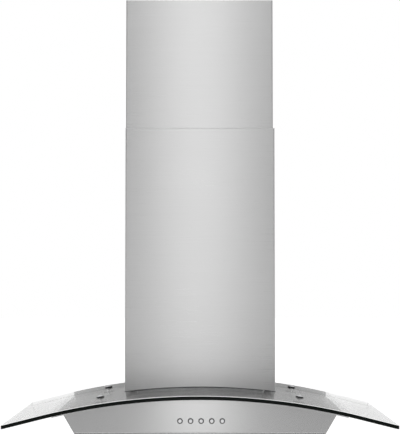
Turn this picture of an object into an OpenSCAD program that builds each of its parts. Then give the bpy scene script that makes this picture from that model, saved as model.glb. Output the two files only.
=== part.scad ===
// Glass canopy range hood, wall-hung, with a two-piece chimney cover.
// X runs to the right, +Y into the wall (the wall is the plane y = 0) and +Z up. The origin is
// the centre of the four wall holes. Inside each sub-part, z is counted from the glass's crown,
// the highest line of its upper face, and lift() moves the sub-part down to its place.

/* [Glass canopy] */
// Width of the glass, side to side
glass_w = 750; // [690:1:900]
// Depth of the glass, front edge to wall
glass_d = 500; // [490:1:560]
// Thickness of the glass
glass_t = 8; // [5:0.5:10]
// Radius of the arched middle, at the upper face
glass_r = 1250; // [1100:10:1800]
// Half width of the arched middle, beyond which the wings are straight
arch_half_w = 303; // [290:1:330]
// Radius of the corners in plan
glass_corner_r = 9; // [4:1:20]
// Gap between the glass and the wall
glass_wall_gap = 1.5; // [1.2:0.1:3]
// Gap between the glass and the steel plate under it
pad_gap = 1.5; // [1:0.1:3]

/* [Glass bolts] */
// Distance from the centre line to each bolt
bolt_x = 197.5; // [175:0.5:225]
// Distance from the wall to the rear bolts
bolt_rear_y = 98; // [60:1:140]
// Distance from the wall to the front bolts
bolt_front_y = 350; // [310:1:420]
// Shank radius of a glass bolt
bolt_r = 3; // [2:0.25:4]
// Radius of the domed head
head_r = 7.25; // [6:0.25:8]
// Height of the domed head
head_h = 3.8; // [2:0.2:4.5]
// Radius of the dark washer under the head
washer_r = 7.7; // [7:0.1:9]
// Thickness of that washer
washer_t = 1.2; // [0.6:0.1:2]
// Width across the flats of a nut
nut_af = 10; // [9:0.5:13]
// Thickness of a nut
nut_t = 5; // [3:0.5:7]
// Radius of a rubber pad under the glass
pad_r = 12; // [9:0.5:16]

/* [Body] */
// Width of the front panel where it meets the top plate
body_top_w = 516; // [490:1:530]
// Width of the body at its underside
body_bottom_w = 476; // [462:1:486]
// Depth of the body, from the wall to the front panel's face
body_d = 480; // [465:1:488]
// Height from the body's underside to the glass's crown
body_drop = 72; // [66:1:100]
// Thickness of the body's sheet
sheet = 1; // [0.7:0.1:1.5]
// Width of the folded flange round the body's underside
flange_w = 14; // [8:1:16]
// Outer radius of the bend along the panel's lower edge
bend_r = 2.2; // [1.6:0.1:4]
// Gap between the panel's upper edge and the glass
panel_glass_gap = 0.3; // [0.2:0.1:1]
// Depth of the panel's side returns
return_d = 12; // [8:1:20]
// Width of the top plate
plate_w = 562; // [540:1:576]
// Thickness of the top plate
plate_t = 1.2; // [0.8:0.1:2]

/* [Push buttons] */
// Number of buttons
button_n = 5; // [3:1:6]
// Distance between neighbouring buttons
button_pitch = 20; // [17:0.5:22]
// Sideways place of the middle of the row
button_x = 2.2; // [-20:0.1:20]
// Height of the row above the body's underside
button_rise = 23.4; // [18:0.1:28]
// Radius of a button's cap
cap_r = 3.3; // [2.6:0.1:4]
// How far a cap stands out of the panel
cap_out = 3.2; // [2.8:0.1:6]
// Travel of a button
button_travel = 2; // [1:0.1:2.4]
// Radius of a bezel's rim
bezel_r = 5.3; // [4.9:0.1:6]
// Thickness of a bezel's rim
bezel_t = 1; // [0.5:0.1:1.6]
// Running clearance of a cap in its bezel
button_play = 0.08; // [0.05:0.01:0.1]

/* [Grease filters] */
// Width of a filter opening
bay_w = 206; // [180:1:210]
// Distance from the wall to a filter opening
bay_rear_y = 70; // [50:1:75]
// Distance between the two filter openings
bay_apart = 12; // [10:1:16]
// Thickness of a filter
filter_t = 11; // [9:0.5:14]
// Width of a filter's side rails
rail_w = 10; // [8:1:16]
// Width of a filter's front rail
front_rail_w = 36; // [30:1:45]
// Thickness of the filter's sheet
filter_sheet = 0.8; // [0.6:0.1:1]
// Width of one baffle slat
slat_w = 20; // [16:1:24]
// Number of slats in a filter's lower layer
slat_n = 6; // [4:1:7]
// Height of a slat's turned-up lips
lip_h = 4; // [2.5:0.1:4.2]
// Radius of the filter's pivot pins
pivot_r = 2; // [1.5:0.1:3]
// Running clearance round a pivot pin
pivot_play = 0.05; // [0.02:0.01:0.1]
// Gap between a filter and its opening, side and front
filter_gap = 1.2; // [0.6:0.1:2]
// Wire radius of a filter's folding handle
wire_r = 1.3; // [1:0.1:1.6]
// Width of the folding handle
handle_w = 44; // [36:1:60]
// Reach of the folding handle from its hinge
handle_reach = 20; // [16:1:26]

/* [Lamps] */
// Distance from the centre line to each lamp
lamp_x = 150; // [110:1:175]
// Radius of a lamp's cup
lamp_r = 28; // [20:0.5:30]
// Width of a lamp's trim ring beyond the cup
trim_w = 3.5; // [2:0.5:5]
// Depth of a lamp's cup above the underside
lamp_depth = 15; // [12:1:20]
// Thickness of the trim ring
trim_t = 1.5; // [1:0.1:2.5]
// Gap from a trim ring to the front flange, and to the filter opening behind it
lamp_gap = 2; // [0.5:0.5:6]

/* [Chimney covers] */
// Width of the lower cover
lower_w = 305; // [298:1:320]
// Distance from the wall to the lower cover's front
chimney_d = 286; // [282:1:310]
// Height of the lower cover's top above the glass's crown
seam_h = 528; // [480:1:600]
// Thickness of the covers' sheet
cover_t = 0.6; // [0.5:0.1:0.9]
// Outer radius of the covers' bends
cover_bend_r = 2; // [1.5:0.1:4]
// Width of the flanges that the covers turn towards each other at the wall
cover_flange_w = 16; // [10:1:16]
// Gap between the lower cover and the wall
cover_wall_gap = 0.5; // [0.3:0.1:1]
// Thickness of the rubber seal under the lower cover
seal_t = 1; // [0.6:0.1:2]
// How far the seal stands out beyond the lower cover
seal_out = 1; // [0.5:0.1:1.5]
// Width of the upper cover
upper_w = 300.8; // [297:0.1:301]
// How far the upper cover sits off the centre line
upper_shift = -1.2; // [-1.2:0.1:1.2]
// Length of the upper cover
upper_h = 480; // [440:1:520]
// Height of the upper cover's top above the glass's crown, as it is set here
top_h = 792; // [760:1:900]
// Gap between the fronts of the two covers
front_play = 0.9; // [0.4:0.1:1.5]
// Distance from the wall to the upper cover's flanges
upper_wall_gap = 3; // [2.5:0.1:5]

/* [Chimney brackets] */
// Thickness of the brackets' plate
bracket_t = 1.5; // [1:0.1:2]
// Height of the ceiling bracket's strip
bracket_h = 20; // [16:1:22]
// Distance from the upper cover's top to the ceiling bracket
bracket_drop = 4; // [2:1:8]
// Depth of the ceiling bracket's side arms
arm_d = 50; // [40:1:90]
// Half the distance between the ceiling bracket's wall holes
bracket_hole_x = 100; // [60:1:130]
// Radius of the ceiling bracket's wall holes
bracket_hole_r = 3; // [2:0.25:4]
// Gap between a bracket and the cover that it holds
bracket_gap = 0.3; // [0.2:0.05:0.4]
// Height of the tabs that hold the lower cover
tab_h = 20; // [16:1:24]
// Height of those tabs above the glass's crown
tab_rise = 8; // [6:1:14]
// Depth of one tab
tab_d = 30; // [24:1:40]
// Distance from the wall to the rear tabs' screws
tab_rear_y = 60; // [45:1:80]
// Distance from the wall to the front tabs' screws
tab_front_y = 200; // [180:1:220]

/* [Screws] */
// Shank radius of the cover, flange and collar screws
screw_r = 1.9; // [1.5:0.05:2]
// Radius of their heads
screw_head_r = 3.5; // [3:0.1:4]
// Height of their heads
screw_head_h = 2.2; // [1.5:0.1:2.5]
// Length of their shanks
screw_l = 7; // [5:0.5:9]
// Clearance round a screw or bolt in its hole
hole_play = 0.25; // [0.1:0.05:0.5]

/* [Fan box] */
// Width of the fan box
box_w = 256; // [246:1:258]
// Depth of the fan box, from the wall
box_d = 262; // [256:1:263]
// Height of the fan box's top above the glass's crown
box_h = 232; // [228:1:250]
// Thickness of the fan box's sheet
box_t = 1.2; // [1:0.1:1.5]
// Width of the flange round the fan box's foot
foot_w = 12; // [10:1:14]
// Gap between the fan box and the edge of the glass's cut-out
notch_gap = 3; // [2:0.5:5]
// Height of the wall holes' centre above the glass's crown
hang_rise = 130; // [115:1:140]
// Sideways distance between the wall holes
hang_x = 210; // [190:1:226]
// Height between the upper and lower wall holes
hang_z = 120; // [80:1:150]
// Radius of the wall holes
hang_r = 4; // [3:0.25:5]

/* [Fan] */
// Distance from the wall to the fan's axis
fan_y = 104; // [102:1:106]
// Height of the fan's axis above the glass's crown
fan_z = 112; // [110:1:116]
// Radius of the fan wheel
wheel_r = 80; // [70:1:82]
// Width of the fan wheel
wheel_w = 132; // [100:1:134]
// Number of blades
blade_n = 32; // [20:1:40]
// Radial depth of a blade
blade_d = 14; // [10:1:18]
// Width of the scroll housing
scroll_w = 150; // [148:1:160]
// Wall of the scroll housing
scroll_t = 2; // [1.5:0.1:2.5]
// Inner radius of the scroll at its tongue
scroll_start_r = 86; // [85:1:88]
// Inner radius of the scroll where it meets the outlet
scroll_end_r = 120; // [116:1:122]
// Bore radius of the inlet rings
inlet_r = 58; // [50:1:60]
// Radius of the motor
motor_r = 41; // [34:1:44]
// Length of the motor
motor_l = 62; // [50:1:66]
// Radius of the motor shaft
shaft_r = 4; // [3:0.25:5]
// Running clearance round the motor shaft
shaft_play = 0.05; // [0.02:0.01:0.1]

/* [Duct collar] */
// Outer radius of the collar, for a 150 mm duct
collar_r = 74.5; // [60:0.5:74.5]
// Height of the collar
collar_h = 56; // [50:1:70]
// Wall of the collar
collar_t = 2; // [1.5:0.1:2.5]
// Width of the collar's foot beyond its tube
collar_foot_w = 11; // [10:1:11]
// Thickness of the collar's foot
collar_foot_t = 2; // [1.5:0.1:3]
// Height of the dampers' pin above the collar's foot
pin_rise = 16; // [12:1:20]
// Radius of the dampers' pin
pin_r = 1.5; // [1:0.1:2]
// Running clearance of the dampers on their pin
pin_play = 0.05; // [0.02:0.01:0.1]
// Thickness of a damper
damper_t = 1; // [0.8:0.1:1.5]
// Gap between a damper and the collar's wall
damper_gap = 2; // [1:0.1:2.5]
// Wall of a damper's hinge barrel
barrel_t = 1.4; // [1:0.1:1.8]

/* [Electrical] */
// Length of the junction box
junction_l = 80; // [60:1:84]
// Depth of the junction box
junction_d = 56; // [46:1:60]
// Height of the junction box
junction_h = 34; // [28:1:40]
// Wall of the junction box
junction_t = 2; // [1.5:0.1:3]
// Bore radius of the cable gland
gland_r = 4; // [3:0.25:5]
// Length of the lamp driver
driver_l = 72; // [50:1:74]
// Depth of the lamp driver
driver_d = 44; // [36:1:50]
// Height of the lamp driver
driver_h = 24; // [18:1:30]
// Radius of the motor capacitor
capacitor_r = 15; // [12:0.5:17]
// Length of the motor capacitor
capacitor_l = 56; // [45:1:60]
// Radius of the wiring's sheath
wiring_r = 2.5; // [2:0.25:3]

/* [Hidden] */

// Fineness of the wide drums that the glass and the plates are cut from
drum_fn = 720;
// Number of flat strips that make up the glass's arch
arch_steps = 96;
// Fineness of other round shapes
round_fn = 96;
// Overlap of a cutting shape past what it cuts
past = 1;
// Height up to which every tall cutting shape reaches
tall = 1200;

// Glass and plate
arch_angle = asin(arch_half_w / glass_r);
wing_l = (glass_w / 2 - arch_half_w) / cos(arch_angle);
glass_under_r = glass_r - glass_t;
flange_below = 0.5;
plate_r = glass_under_r - pad_gap;
plate_under_r = plate_r - plate_t;
// Least gap between a flat face and a curved one
seat_gap = 0.1;
// Radius of the corners of the glass's cut-out
notch_r = 6;

// Body
body_edge_drop = glass_r - sqrt(pow(plate_under_r, 2) - pow(body_top_w / 2, 2));
side_slope = (body_top_w - body_bottom_w) / 2 / (body_drop - body_edge_drop);
// Sideways thickness of a leaning side wall
lean_t = sheet * sqrt(1 + pow(side_slope, 2));
// Gap between folded sheets that aren't welded
fold_gap = 0.3;
floor_z = -body_drop + sheet;

// Buttons
bezel_bore_r = cap_r + button_play;
bezel_wall = 0.9;
barrel_r = bezel_bore_r + bezel_wall;
barrel_l = 5;
stem_r = 1.8;
switch_end = 12;
switch_w = (button_n - 1) * button_pitch + 2 * switch_end;
switch_h = 14;
switch_d = 20;
switch_back = 4;
switch_lug = 6;
// Room left behind a stem and behind a cap once the button is pressed
stem_room = 3;
cap_room = 1.5;
stem_l = barrel_l + switch_d - switch_back - button_travel - stem_room;
cap_in = barrel_l - button_travel - cap_room;
rim_step = 0.4;
button_z = -body_drop + button_rise;

// Lamps, in a strip between the front flange and the filter openings
lamp_y = body_d - flange_w - lamp_gap - trim_w - lamp_r;
lamp_wall = 1.5;
lens_t = 2.5;
lens_in = 0.3;
board_t = 1.6;
diode_w = 5;
diode_ring_r = 0.55 * lamp_r;
diode_turn = 60;

// Filters
bay_front_y = lamp_y - lamp_r - trim_w - lamp_gap - sheet;
bay_d = bay_front_y - bay_rear_y;
filter_front_y = bay_front_y - filter_gap;
pivot_in = 6;
swing_room = 0.5;
swing_gap = sqrt(pow(pivot_in, 2) + pow(filter_t / 2, 2)) - pivot_in + swing_room;
filter_rear_y = bay_rear_y + swing_gap;
filter_l = filter_front_y - filter_rear_y;
filter_w = bay_w - 2 * filter_gap;
rim_h = filter_t;
pivot_y = filter_rear_y + pivot_in;
pivot_z = floor_z + filter_t / 2;
bay_x = (bay_apart + bay_w) / 2;
slat_grip = 3;
slat_pitch = (filter_w - 2 * rail_w + 2 * slat_grip - slat_w) / (slat_n - 1);
slat_l = filter_l - rail_w - front_rail_w + 2 * slat_grip;
handle_in = 10;
handle_y = filter_front_y - handle_in;
saddle_w = 5;
saddle_in = 7;
saddle_wall = 0.9;
wire_play = 0.06;
saddle_r = wire_r + wire_play + saddle_wall;
handle_z = floor_z - saddle_r;

// Chimney
upper_front_y = chimney_d - cover_t - front_play;
bracket_z = top_h - bracket_drop - bracket_h;
upper_inner_half = upper_w / 2 - cover_t;
tab_out = lower_w / 2 - cover_t - bracket_gap;

// Fan
outlet_y = fan_y + scroll_end_r / 2;
ring_t = 2;
ring_lip = 5;
ring_wall = 2;
ring_flange = 12;
bracket_plate = 2;
bracket_ring_in = 16;
bracket_ring_out = 24;
hub_r = 11;
disc_t = 2;
shaft_in_motor = 22;
shaft_out = 4;
motor_x0 = -scroll_w / 2 - ring_t;
motor_x1 = motor_x0 + motor_l;
nose_l = 6;
nose_r = 0.45 * motor_r;
scroll_turn = 270;
hub_gap = 3;
hub_x0 = motor_x1 + hub_gap;
hub_l = 20;

// Collar and dampers
collar_in = collar_r - collar_t;
collar_z = box_h;
pin_z = collar_z + pin_rise;
damper_r = collar_in - damper_gap;
hinge_bore_r = pin_r + pin_play;
hinge_r = hinge_bore_r + barrel_t;
// The duct stops on a shoulder round the collar's foot
shoulder_w = 1.5;
shoulder_h = 10;
ledge_w = 7;
ledge_t = 2;
ledge_gap = 0.3;
leaf_gap = 0.6;
leaf_in = hinge_r + leaf_gap;
hinge_l = 18;
hinge_apart = 1;
barrel_step = hinge_l + hinge_apart;

// Electrical pieces on the fan box, set in from its edges
edge_in = 8;
junction_x = -box_w / 2 + edge_in;
junction_rear_y = edge_in;
gland_x = junction_x + junction_l / 2;
gland_y = -junction_rear_y - junction_d / 2;
lid_t = 2;
gland_wall = 3;
gland_below = 3;
gland_nut_w = 6;
gland_nut_h = 5;
gland_cap_w = 4;
gland_top = 15;
cell_w = 12;
cell_n = 3;
terminal_d = 16;
terminal_h = 12;
terminal_bore_r = 2.5;
driver_x = box_w / 2 - edge_in - driver_l;
strap_w = 10;
strap_foot = 12;
capacitor_x = (junction_x + junction_l + driver_x) / 2;
capacitor_y = -junction_rear_y - capacitor_r - bracket_t - seat_gap;
capacitor_z = box_h + capacitor_r + seat_gap;

// Wiring route, from the switch block to the junction box
wiring_top_z = box_h + wiring_r + 6 * seat_gap;
wiring_side_x = -box_w / 2 + 18;
wiring_hole_x = -30;
wiring_wall_y = 7;
plug_half = 5;
lead_sides = 8;

// Moves a sub-part from the crown's level to its place below the wall holes
module lift() {
  translate([0, 0, -hang_rise]) children();
}

// A drum along Y about the centre line of the glass's arc
module drum(r, y0, y1) {
  translate([0, y1, -glass_r])
    rotate([90, 0, 0])
      cylinder(r = r, h = y1 - y0, $fn = drum_fn);
}

// Carries a profile drawn in X and Z along Y
module along_y(y0, y1) {
  translate([0, y1, 0])
    rotate([90, 0, 0])
      linear_extrude(y1 - y0)
        children();
}

// Carries a profile drawn in Y and Z along X
module along_x(x0, x1) {
  translate([x0, 0, 0])
    rotate([90, 0, 90])
      linear_extrude(x1 - x0)
        children();
}

// A box given by its two corners
module block(a, b) {
  translate(a) cube(b - a);
}

// A rectangle with round corners, given by its two corners
module round_rect(a, b, r) {
  translate([a[0] + r, a[1]]) square([b[0] - a[0] - 2 * r, b[1] - a[1]]);
  translate([a[0], a[1] + r]) square([b[0] - a[0], b[1] - a[1] - 2 * r]);
  for (x = [a[0] + r, b[0] - r], y = [a[1] + r, b[1] - r])
    translate([x, y]) circle(r = r, $fn = round_fn);
}

// A cylinder along X
module rod_x(r, x0, x1, y, z) {
  translate([x0, y, z]) rotate([0, 90, 0]) cylinder(r = r, h = x1 - x0, $fn = round_fn);
}

// A cylinder along Y
module rod_y(r, x, y0, y1, z) {
  translate([x, y1, z]) rotate([90, 0, 0]) cylinder(r = r, h = y1 - y0, $fn = round_fn);
}

// A cylinder along Z
module rod_z(r, x, y, z0, z1) {
  translate([x, y, z0]) cylinder(r = r, h = z1 - z0, $fn = round_fn);
}

// Puts its children on a drum of radius r, square to it, at x and y
module on_drum(r, x, y) {
  translate([0, y, -glass_r])
    rotate([0, asin(x / r), 0])
      translate([0, 0, r])
        children();
}

// Repeats its children at the four glass bolts, on a drum of radius r
module at_bolts(r) {
  for (side = [-1, 1], y = [bolt_rear_y, bolt_front_y])
    on_drum(r, side * bolt_x * r / glass_r, -y) children();
}

// A pan-head screw that points down from the origin, with its head above
module screw(length) {
  translate([0, 0, -length]) cylinder(r = screw_r, h = length + screw_head_h / 2, $fn = round_fn);
  cylinder(r = screw_head_r, h = screw_head_h, $fn = round_fn);
}

// Glass canopy

module glass_notch() {
  half = box_w / 2 + notch_gap;
  translate([0, 0, -glass_r])
    linear_extrude(tall + glass_r)
      round_rect([-half, -box_d - notch_gap], [half, 2 * notch_r], notch_r);
}

// The glass seen from the front: an arch with a straight wing at each side
module glass_outline() {
  across = [cos(arch_angle), -sin(arch_angle)];
  turns = [for (i = [0 : arch_steps]) arch_angle * (2 * i / arch_steps - 1)];
  function at(r, turn) = r * [sin(turn), cos(turn)];
  function tip(r, side) = at(r, side * arch_angle) + wing_l * [side * across[0], across[1]];
  translate([0, -glass_r])
    polygon(concat(
      [tip(glass_r, -1)], [for (turn = turns) at(glass_r, turn)], [tip(glass_r, 1)],
      [tip(glass_under_r, 1)], [for (turn = turns) at(glass_under_r, -turn)],
      [tip(glass_under_r, -1)]
    ));
}

module glass_canopy() {
  lift() color([0.35, 0.42, 0.42, 0.5])
    difference() {
      intersection() {
        along_y(-glass_d, -glass_wall_gap) glass_outline();
        translate([0, 0, -glass_r])
          linear_extrude(tall + glass_r)
            round_rect([-glass_w / 2, -glass_d], [glass_w / 2, -glass_wall_gap], glass_corner_r);
      }
      glass_notch();
      at_bolts(glass_r)
        translate([0, 0, -glass_t - past])
          cylinder(r = bolt_r + 2 * hole_play, h = glass_t + 2 * past, $fn = round_fn);
    }
}

module glass_pads() {
  lift() color([0.08, 0.08, 0.08])
    at_bolts(plate_r)
      difference() {
        cylinder(r = pad_r, h = pad_gap - seat_gap, $fn = round_fn);
        translate([0, 0, -past])
          cylinder(r = bolt_r + hole_play, h = pad_gap + 2 * past, $fn = round_fn);
      }
}

module glass_washers() {
  lift() color([0.07, 0.07, 0.07])
    at_bolts(glass_r)
      difference() {
        cylinder(r = washer_r, h = washer_t, $fn = round_fn);
        translate([0, 0, -past])
          cylinder(r = bolt_r + hole_play, h = washer_t + 2 * past, $fn = round_fn);
      }
}

module glass_bolts() {
  dome_r = (pow(head_r, 2) + pow(head_h, 2)) / (2 * head_h);
  shank_l = glass_t + pad_gap + plate_t + nut_t + bolt_r;
  lift() color([0.85, 0.85, 0.86])
    at_bolts(glass_r)
      translate([0, 0, washer_t]) {
        intersection() {
          translate([0, 0, head_h - dome_r]) sphere(r = dome_r, $fn = round_fn);
          cylinder(r = head_r + past, h = head_h + past, $fn = round_fn);
        }
        translate([0, 0, -washer_t - shank_l])
          cylinder(r = bolt_r, h = washer_t + shank_l + head_h / 2, $fn = round_fn);
      }
}

module glass_nuts() {
  lift() color([0.7, 0.7, 0.7])
    at_bolts(plate_under_r)
      translate([0, 0, -nut_t - seat_gap])
        difference() {
          cylinder(r = nut_af / 2 / cos(30), h = nut_t, $fn = 6);
          translate([0, 0, -past]) cylinder(r = bolt_r, h = nut_t + 2 * past, $fn = round_fn);
        }
}

// Body

// The body's outline seen from the front, drawn in by inset on each side
module body_outline(inset) {
  bottom = body_bottom_w / 2 - inset;
  top = bottom + side_slope * body_drop;
  polygon([[-bottom, -body_drop], [bottom, -body_drop], [top, 0], [-top, 0]]);
}

// The steel plate under the glass, with a flange that stands up behind the glass's rear edge
module top_plate() {
  throat_x = box_w / 2 - box_t - foot_w;
  throat_y = box_t + foot_w;
  lift() color([0.62, 0.62, 0.63])
    difference() {
      intersection() {
        difference() {
          union() {
            drum(plate_r, -body_d + sheet + fold_gap, 0);
            difference() {
              drum(glass_r - flange_below, -sheet, 0);
              glass_notch();
            }
          }
          drum(plate_under_r, -body_d, past);
        }
        block([-plate_w / 2, -body_d, -body_drop], [plate_w / 2, past, past]);
      }
      block([-throat_x, -box_d + throat_y, -body_drop], [throat_x, -throat_y, past]);
      at_bolts(plate_r)
        translate([0, 0, -plate_t - past])
          cylinder(r = bolt_r + hole_play, h = plate_t + 2 * past, $fn = round_fn);
      at_foot_screws()
        cylinder(r = screw_r + hole_play, h = 2 * screw_l, center = true, $fn = round_fn);
    }
}

module body_shell() {
  half = body_bottom_w / 2 - flange_w;
  lift() color([0.72, 0.72, 0.73])
    difference() {
      intersection() {
        along_y(-body_d + sheet, 0) body_outline(0);
        drum(plate_under_r, -body_d, past);
      }
      difference() {
        along_y(-body_d, -sheet) body_outline(lean_t);
        block([-body_top_w, -body_d, -body_drop - past], [body_top_w, past, floor_z]);
      }
      block([-half, -body_d, -body_drop - past], [half, -flange_w, floor_z + past]);
    }
}

// The panel's section from front to back: a sheet with a round bend at its foot
module panel_section() {
  translate([-body_d, -body_drop + bend_r]) square([sheet, body_drop]);
  translate([-body_d + bend_r, -body_drop]) square([flange_w - bend_r, sheet]);
  intersection() {
    translate([-body_d + bend_r, -body_drop + bend_r])
      difference() {
        circle(r = bend_r, $fn = round_fn);
        circle(r = bend_r - sheet, $fn = round_fn);
      }
    translate([-body_d, -body_drop]) square(bend_r);
  }
}

module front_panel() {
  half = body_bottom_w / 2 - flange_w - fold_gap;
  reach = body_top_w;
  lift() color([0.74, 0.74, 0.75])
    difference() {
      union() {
        intersection() {
          along_x(-reach, reach) panel_section();
          along_y(-body_d - past, 0) body_outline(0);
          drum(glass_under_r - panel_glass_gap, -body_d - past, past);
        }
        intersection() {
          along_y(-body_d + sheet / 2, -body_d + sheet + return_d)
            difference() {
              body_outline(lean_t);
              body_outline(2 * lean_t);
            }
          drum(plate_under_r - fold_gap, -body_d - past, past);
          block([-reach, -body_d - past, floor_z + sheet + fold_gap], [reach, 0, 0]);
        }
      }
      for (side = [-1, 1])
        translate([side > 0 ? half : -reach, -body_d + sheet, -body_drop - past])
          cube([reach - half, flange_w, sheet + past]);
      for (i = [0 : button_n - 1])
        rod_y(barrel_r + hole_play / 2, button_place(i), -body_d - past, -body_d + sheet + past,
          button_z);
    }
}

// One upstanding rim round a filter opening, with its pivot holes
module bay_rim(side) {
  difference() {
    block(
      [side * bay_x - bay_w / 2 - sheet, -bay_rear_y - bay_d - sheet, floor_z],
      [side * bay_x + bay_w / 2 + sheet, -bay_rear_y + sheet, floor_z + rim_h]
    );
    block(
      [side * bay_x - bay_w / 2, -bay_rear_y - bay_d, floor_z - past],
      [side * bay_x + bay_w / 2, -bay_rear_y, floor_z + rim_h + past]
    );
  }
}

module bottom_frame() {
  half = body_bottom_w / 2 - lean_t - fold_gap;
  lift() color([0.7, 0.7, 0.71])
    difference() {
      union() {
        block([-half, -body_d + bend_r + fold_gap, floor_z], [half, -sheet - fold_gap, floor_z + sheet]);
        bay_rim(-1);
        bay_rim(1);
      }
      for (side = [-1, 1]) {
        block(
          [side * bay_x - bay_w / 2, -bay_rear_y - bay_d, floor_z - past],
          [side * bay_x + bay_w / 2, -bay_rear_y, floor_z + rim_h + past]
        );
        rod_x(pivot_r + pivot_play, side * bay_x - bay_w / 2 - 2 * sheet,
          side * bay_x + bay_w / 2 + 2 * sheet, -pivot_y, pivot_z);
        rod_z(lamp_r + hole_play, side * lamp_x, -lamp_y, floor_z - past, floor_z + sheet + past);
      }
    }
}

// Push buttons

function button_place(i) = button_x + (i - (button_n - 1) / 2) * button_pitch;

module button_bezels() {
  lift() color([0.06, 0.06, 0.06])
    for (i = [0 : button_n - 1])
      difference() {
        union() {
          rod_y(bezel_r, button_place(i), -body_d - bezel_t, -body_d, button_z);
          rod_y(barrel_r, button_place(i), -body_d - bezel_t / 2, -body_d + barrel_l, button_z);
        }
        rod_y(bezel_bore_r, button_place(i), -body_d - 2 * bezel_t, -body_d + 2 * barrel_l,
          button_z);
      }
}

module switch_block() {
  y0 = -body_d + barrel_l;
  half = switch_w / 2;
  lug_x = half - switch_lug / 2;
  lift() color([0.12, 0.12, 0.13])
    difference() {
      union() {
        block([button_x - half, y0, button_z - switch_h / 2],
          [button_x + half, y0 + switch_d, button_z + switch_h / 2]);
        for (x = [button_x - lug_x, button_x + lug_x])
          block([x - switch_lug / 2, -body_d + sheet, button_z - switch_h / 2],
            [x + switch_lug / 2, y0 + past, button_z + switch_h / 2]);
      }
      for (i = [0 : button_n - 1])
        rod_y(stem_r + button_play, button_place(i), y0 - past, y0 + switch_d - switch_back,
          button_z);
    }
}

module push_button(i) {
  face = -body_d - cap_out;
  lift() color([0.88, 0.88, 0.89])
    if (i < button_n) {
      rod_y(cap_r - rim_step, button_place(i), face, -body_d, button_z);
      rod_y(cap_r, button_place(i), face + rim_step, -body_d + cap_in, button_z);
      rod_y(stem_r, button_place(i), -body_d, -body_d + stem_l, button_z);
    }
}

module button_1() { push_button(0); }
module button_2() { push_button(1); }
module button_3() { push_button(2); }
module button_4() { push_button(3); }
module button_5() { push_button(4); }

// Grease filters

module filter_frame(side) {
  x0 = side * bay_x - filter_w / 2;
  x1 = side * bay_x + filter_w / 2;
  pin_l = filter_gap + 2 * sheet + 0.5;
  top = floor_z + filter_t;
  difference() {
    block([x0, -filter_front_y, floor_z], [x1, -filter_rear_y, top]);
    block([x0 + filter_sheet, -filter_front_y + filter_sheet, floor_z + filter_sheet],
      [x1 - filter_sheet, -filter_rear_y - filter_sheet, top - filter_sheet]);
    block([x0 + rail_w, -filter_front_y + front_rail_w, floor_z - past],
      [x1 - rail_w, -filter_rear_y - rail_w, top + past]);
  }
  rod_x(pivot_r, x0 - pin_l, x0 + filter_sheet, -pivot_y, pivot_z);
  rod_x(pivot_r, x1 - filter_sheet, x1 + pin_l, -pivot_y, pivot_z);
  for (end = [-1, 1])
    translate([side * bay_x + end * (handle_w / 2 - saddle_in) - saddle_w / 2, 0, 0])
      difference() {
        union() {
          rod_x(saddle_r, 0, saddle_w, -handle_y, handle_z);
          block([0, -handle_y - saddle_r, handle_z], [saddle_w, -handle_y + saddle_r,
            floor_z + filter_sheet]);
        }
        rod_x(wire_r + wire_play, -past, saddle_w + past, -handle_y, handle_z);
      }
}

// One slat: a web with two lips, drawn in X and Z, opening upwards
module slat_profile() {
  difference() {
    translate([-slat_w / 2, 0]) square([slat_w, lip_h]);
    translate([-slat_w / 2 + filter_sheet, filter_sheet])
      square([slat_w - 2 * filter_sheet, lip_h]);
  }
}

module filter_baffles(side) {
  y0 = -filter_front_y + front_rail_w - slat_grip;
  low = floor_z + filter_sheet;
  high = floor_z + filter_t - filter_sheet;
  first = -(slat_n - 1) / 2 * slat_pitch;
  for (i = [0 : slat_n - 1])
    translate([side * bay_x + first + i * slat_pitch, 0, low])
      along_y(y0, y0 + slat_l) slat_profile();
  for (i = [0 : slat_n - 2])
    translate([side * bay_x + first + (i + 0.5) * slat_pitch, 0, high])
      along_y(y0, y0 + slat_l) mirror([0, 1]) slat_profile();
}

module filter_handle(side) {
  half = handle_w / 2 - wire_r;
  bar_y = -handle_y + handle_reach;
  translate([side * bay_x, 0, handle_z]) {
    rod_x(wire_r, -half, half, -handle_y, 0);
    rod_x(wire_r, -half, half, bar_y, 0);
    for (end = [-1, 1]) {
      rod_y(wire_r, end * half, -handle_y, bar_y, 0);
      for (y = [-handle_y, bar_y])
        translate([end * half, y, 0]) sphere(r = wire_r, $fn = round_fn);
    }
  }
}

module filter_left_frame() { lift() color([0.66, 0.66, 0.67]) filter_frame(-1); }
module filter_right_frame() { lift() color([0.66, 0.66, 0.67]) filter_frame(1); }
module filter_left_baffles() { lift() color([0.6, 0.6, 0.61]) filter_baffles(-1); }
module filter_right_baffles() { lift() color([0.6, 0.6, 0.61]) filter_baffles(1); }
module filter_left_handle() { lift() color([0.8, 0.8, 0.8]) filter_handle(-1); }
module filter_right_handle() { lift() color([0.8, 0.8, 0.8]) filter_handle(1); }

// Lamps

module lamp_cup(side) {
  translate([side * lamp_x, -lamp_y, floor_z])
    difference() {
      union() {
        cylinder(r = lamp_r, h = lamp_depth, $fn = round_fn);
        translate([0, 0, -trim_t]) cylinder(r = lamp_r + trim_w, h = trim_t, $fn = round_fn);
      }
      translate([0, 0, -trim_t - past])
        cylinder(r = lamp_r - lamp_wall, h = lamp_depth + trim_t + past - lamp_wall,
          $fn = round_fn);
      translate([0, 0, lamp_depth / 2])
        cylinder(r = wiring_r + hole_play, h = lamp_depth, $fn = round_fn);
    }
}

module lamp_lens(side) {
  translate([side * lamp_x, -lamp_y, floor_z - trim_t + lens_in])
    cylinder(r = lamp_r - lamp_wall - seat_gap, h = lens_t, $fn = round_fn);
}

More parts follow.
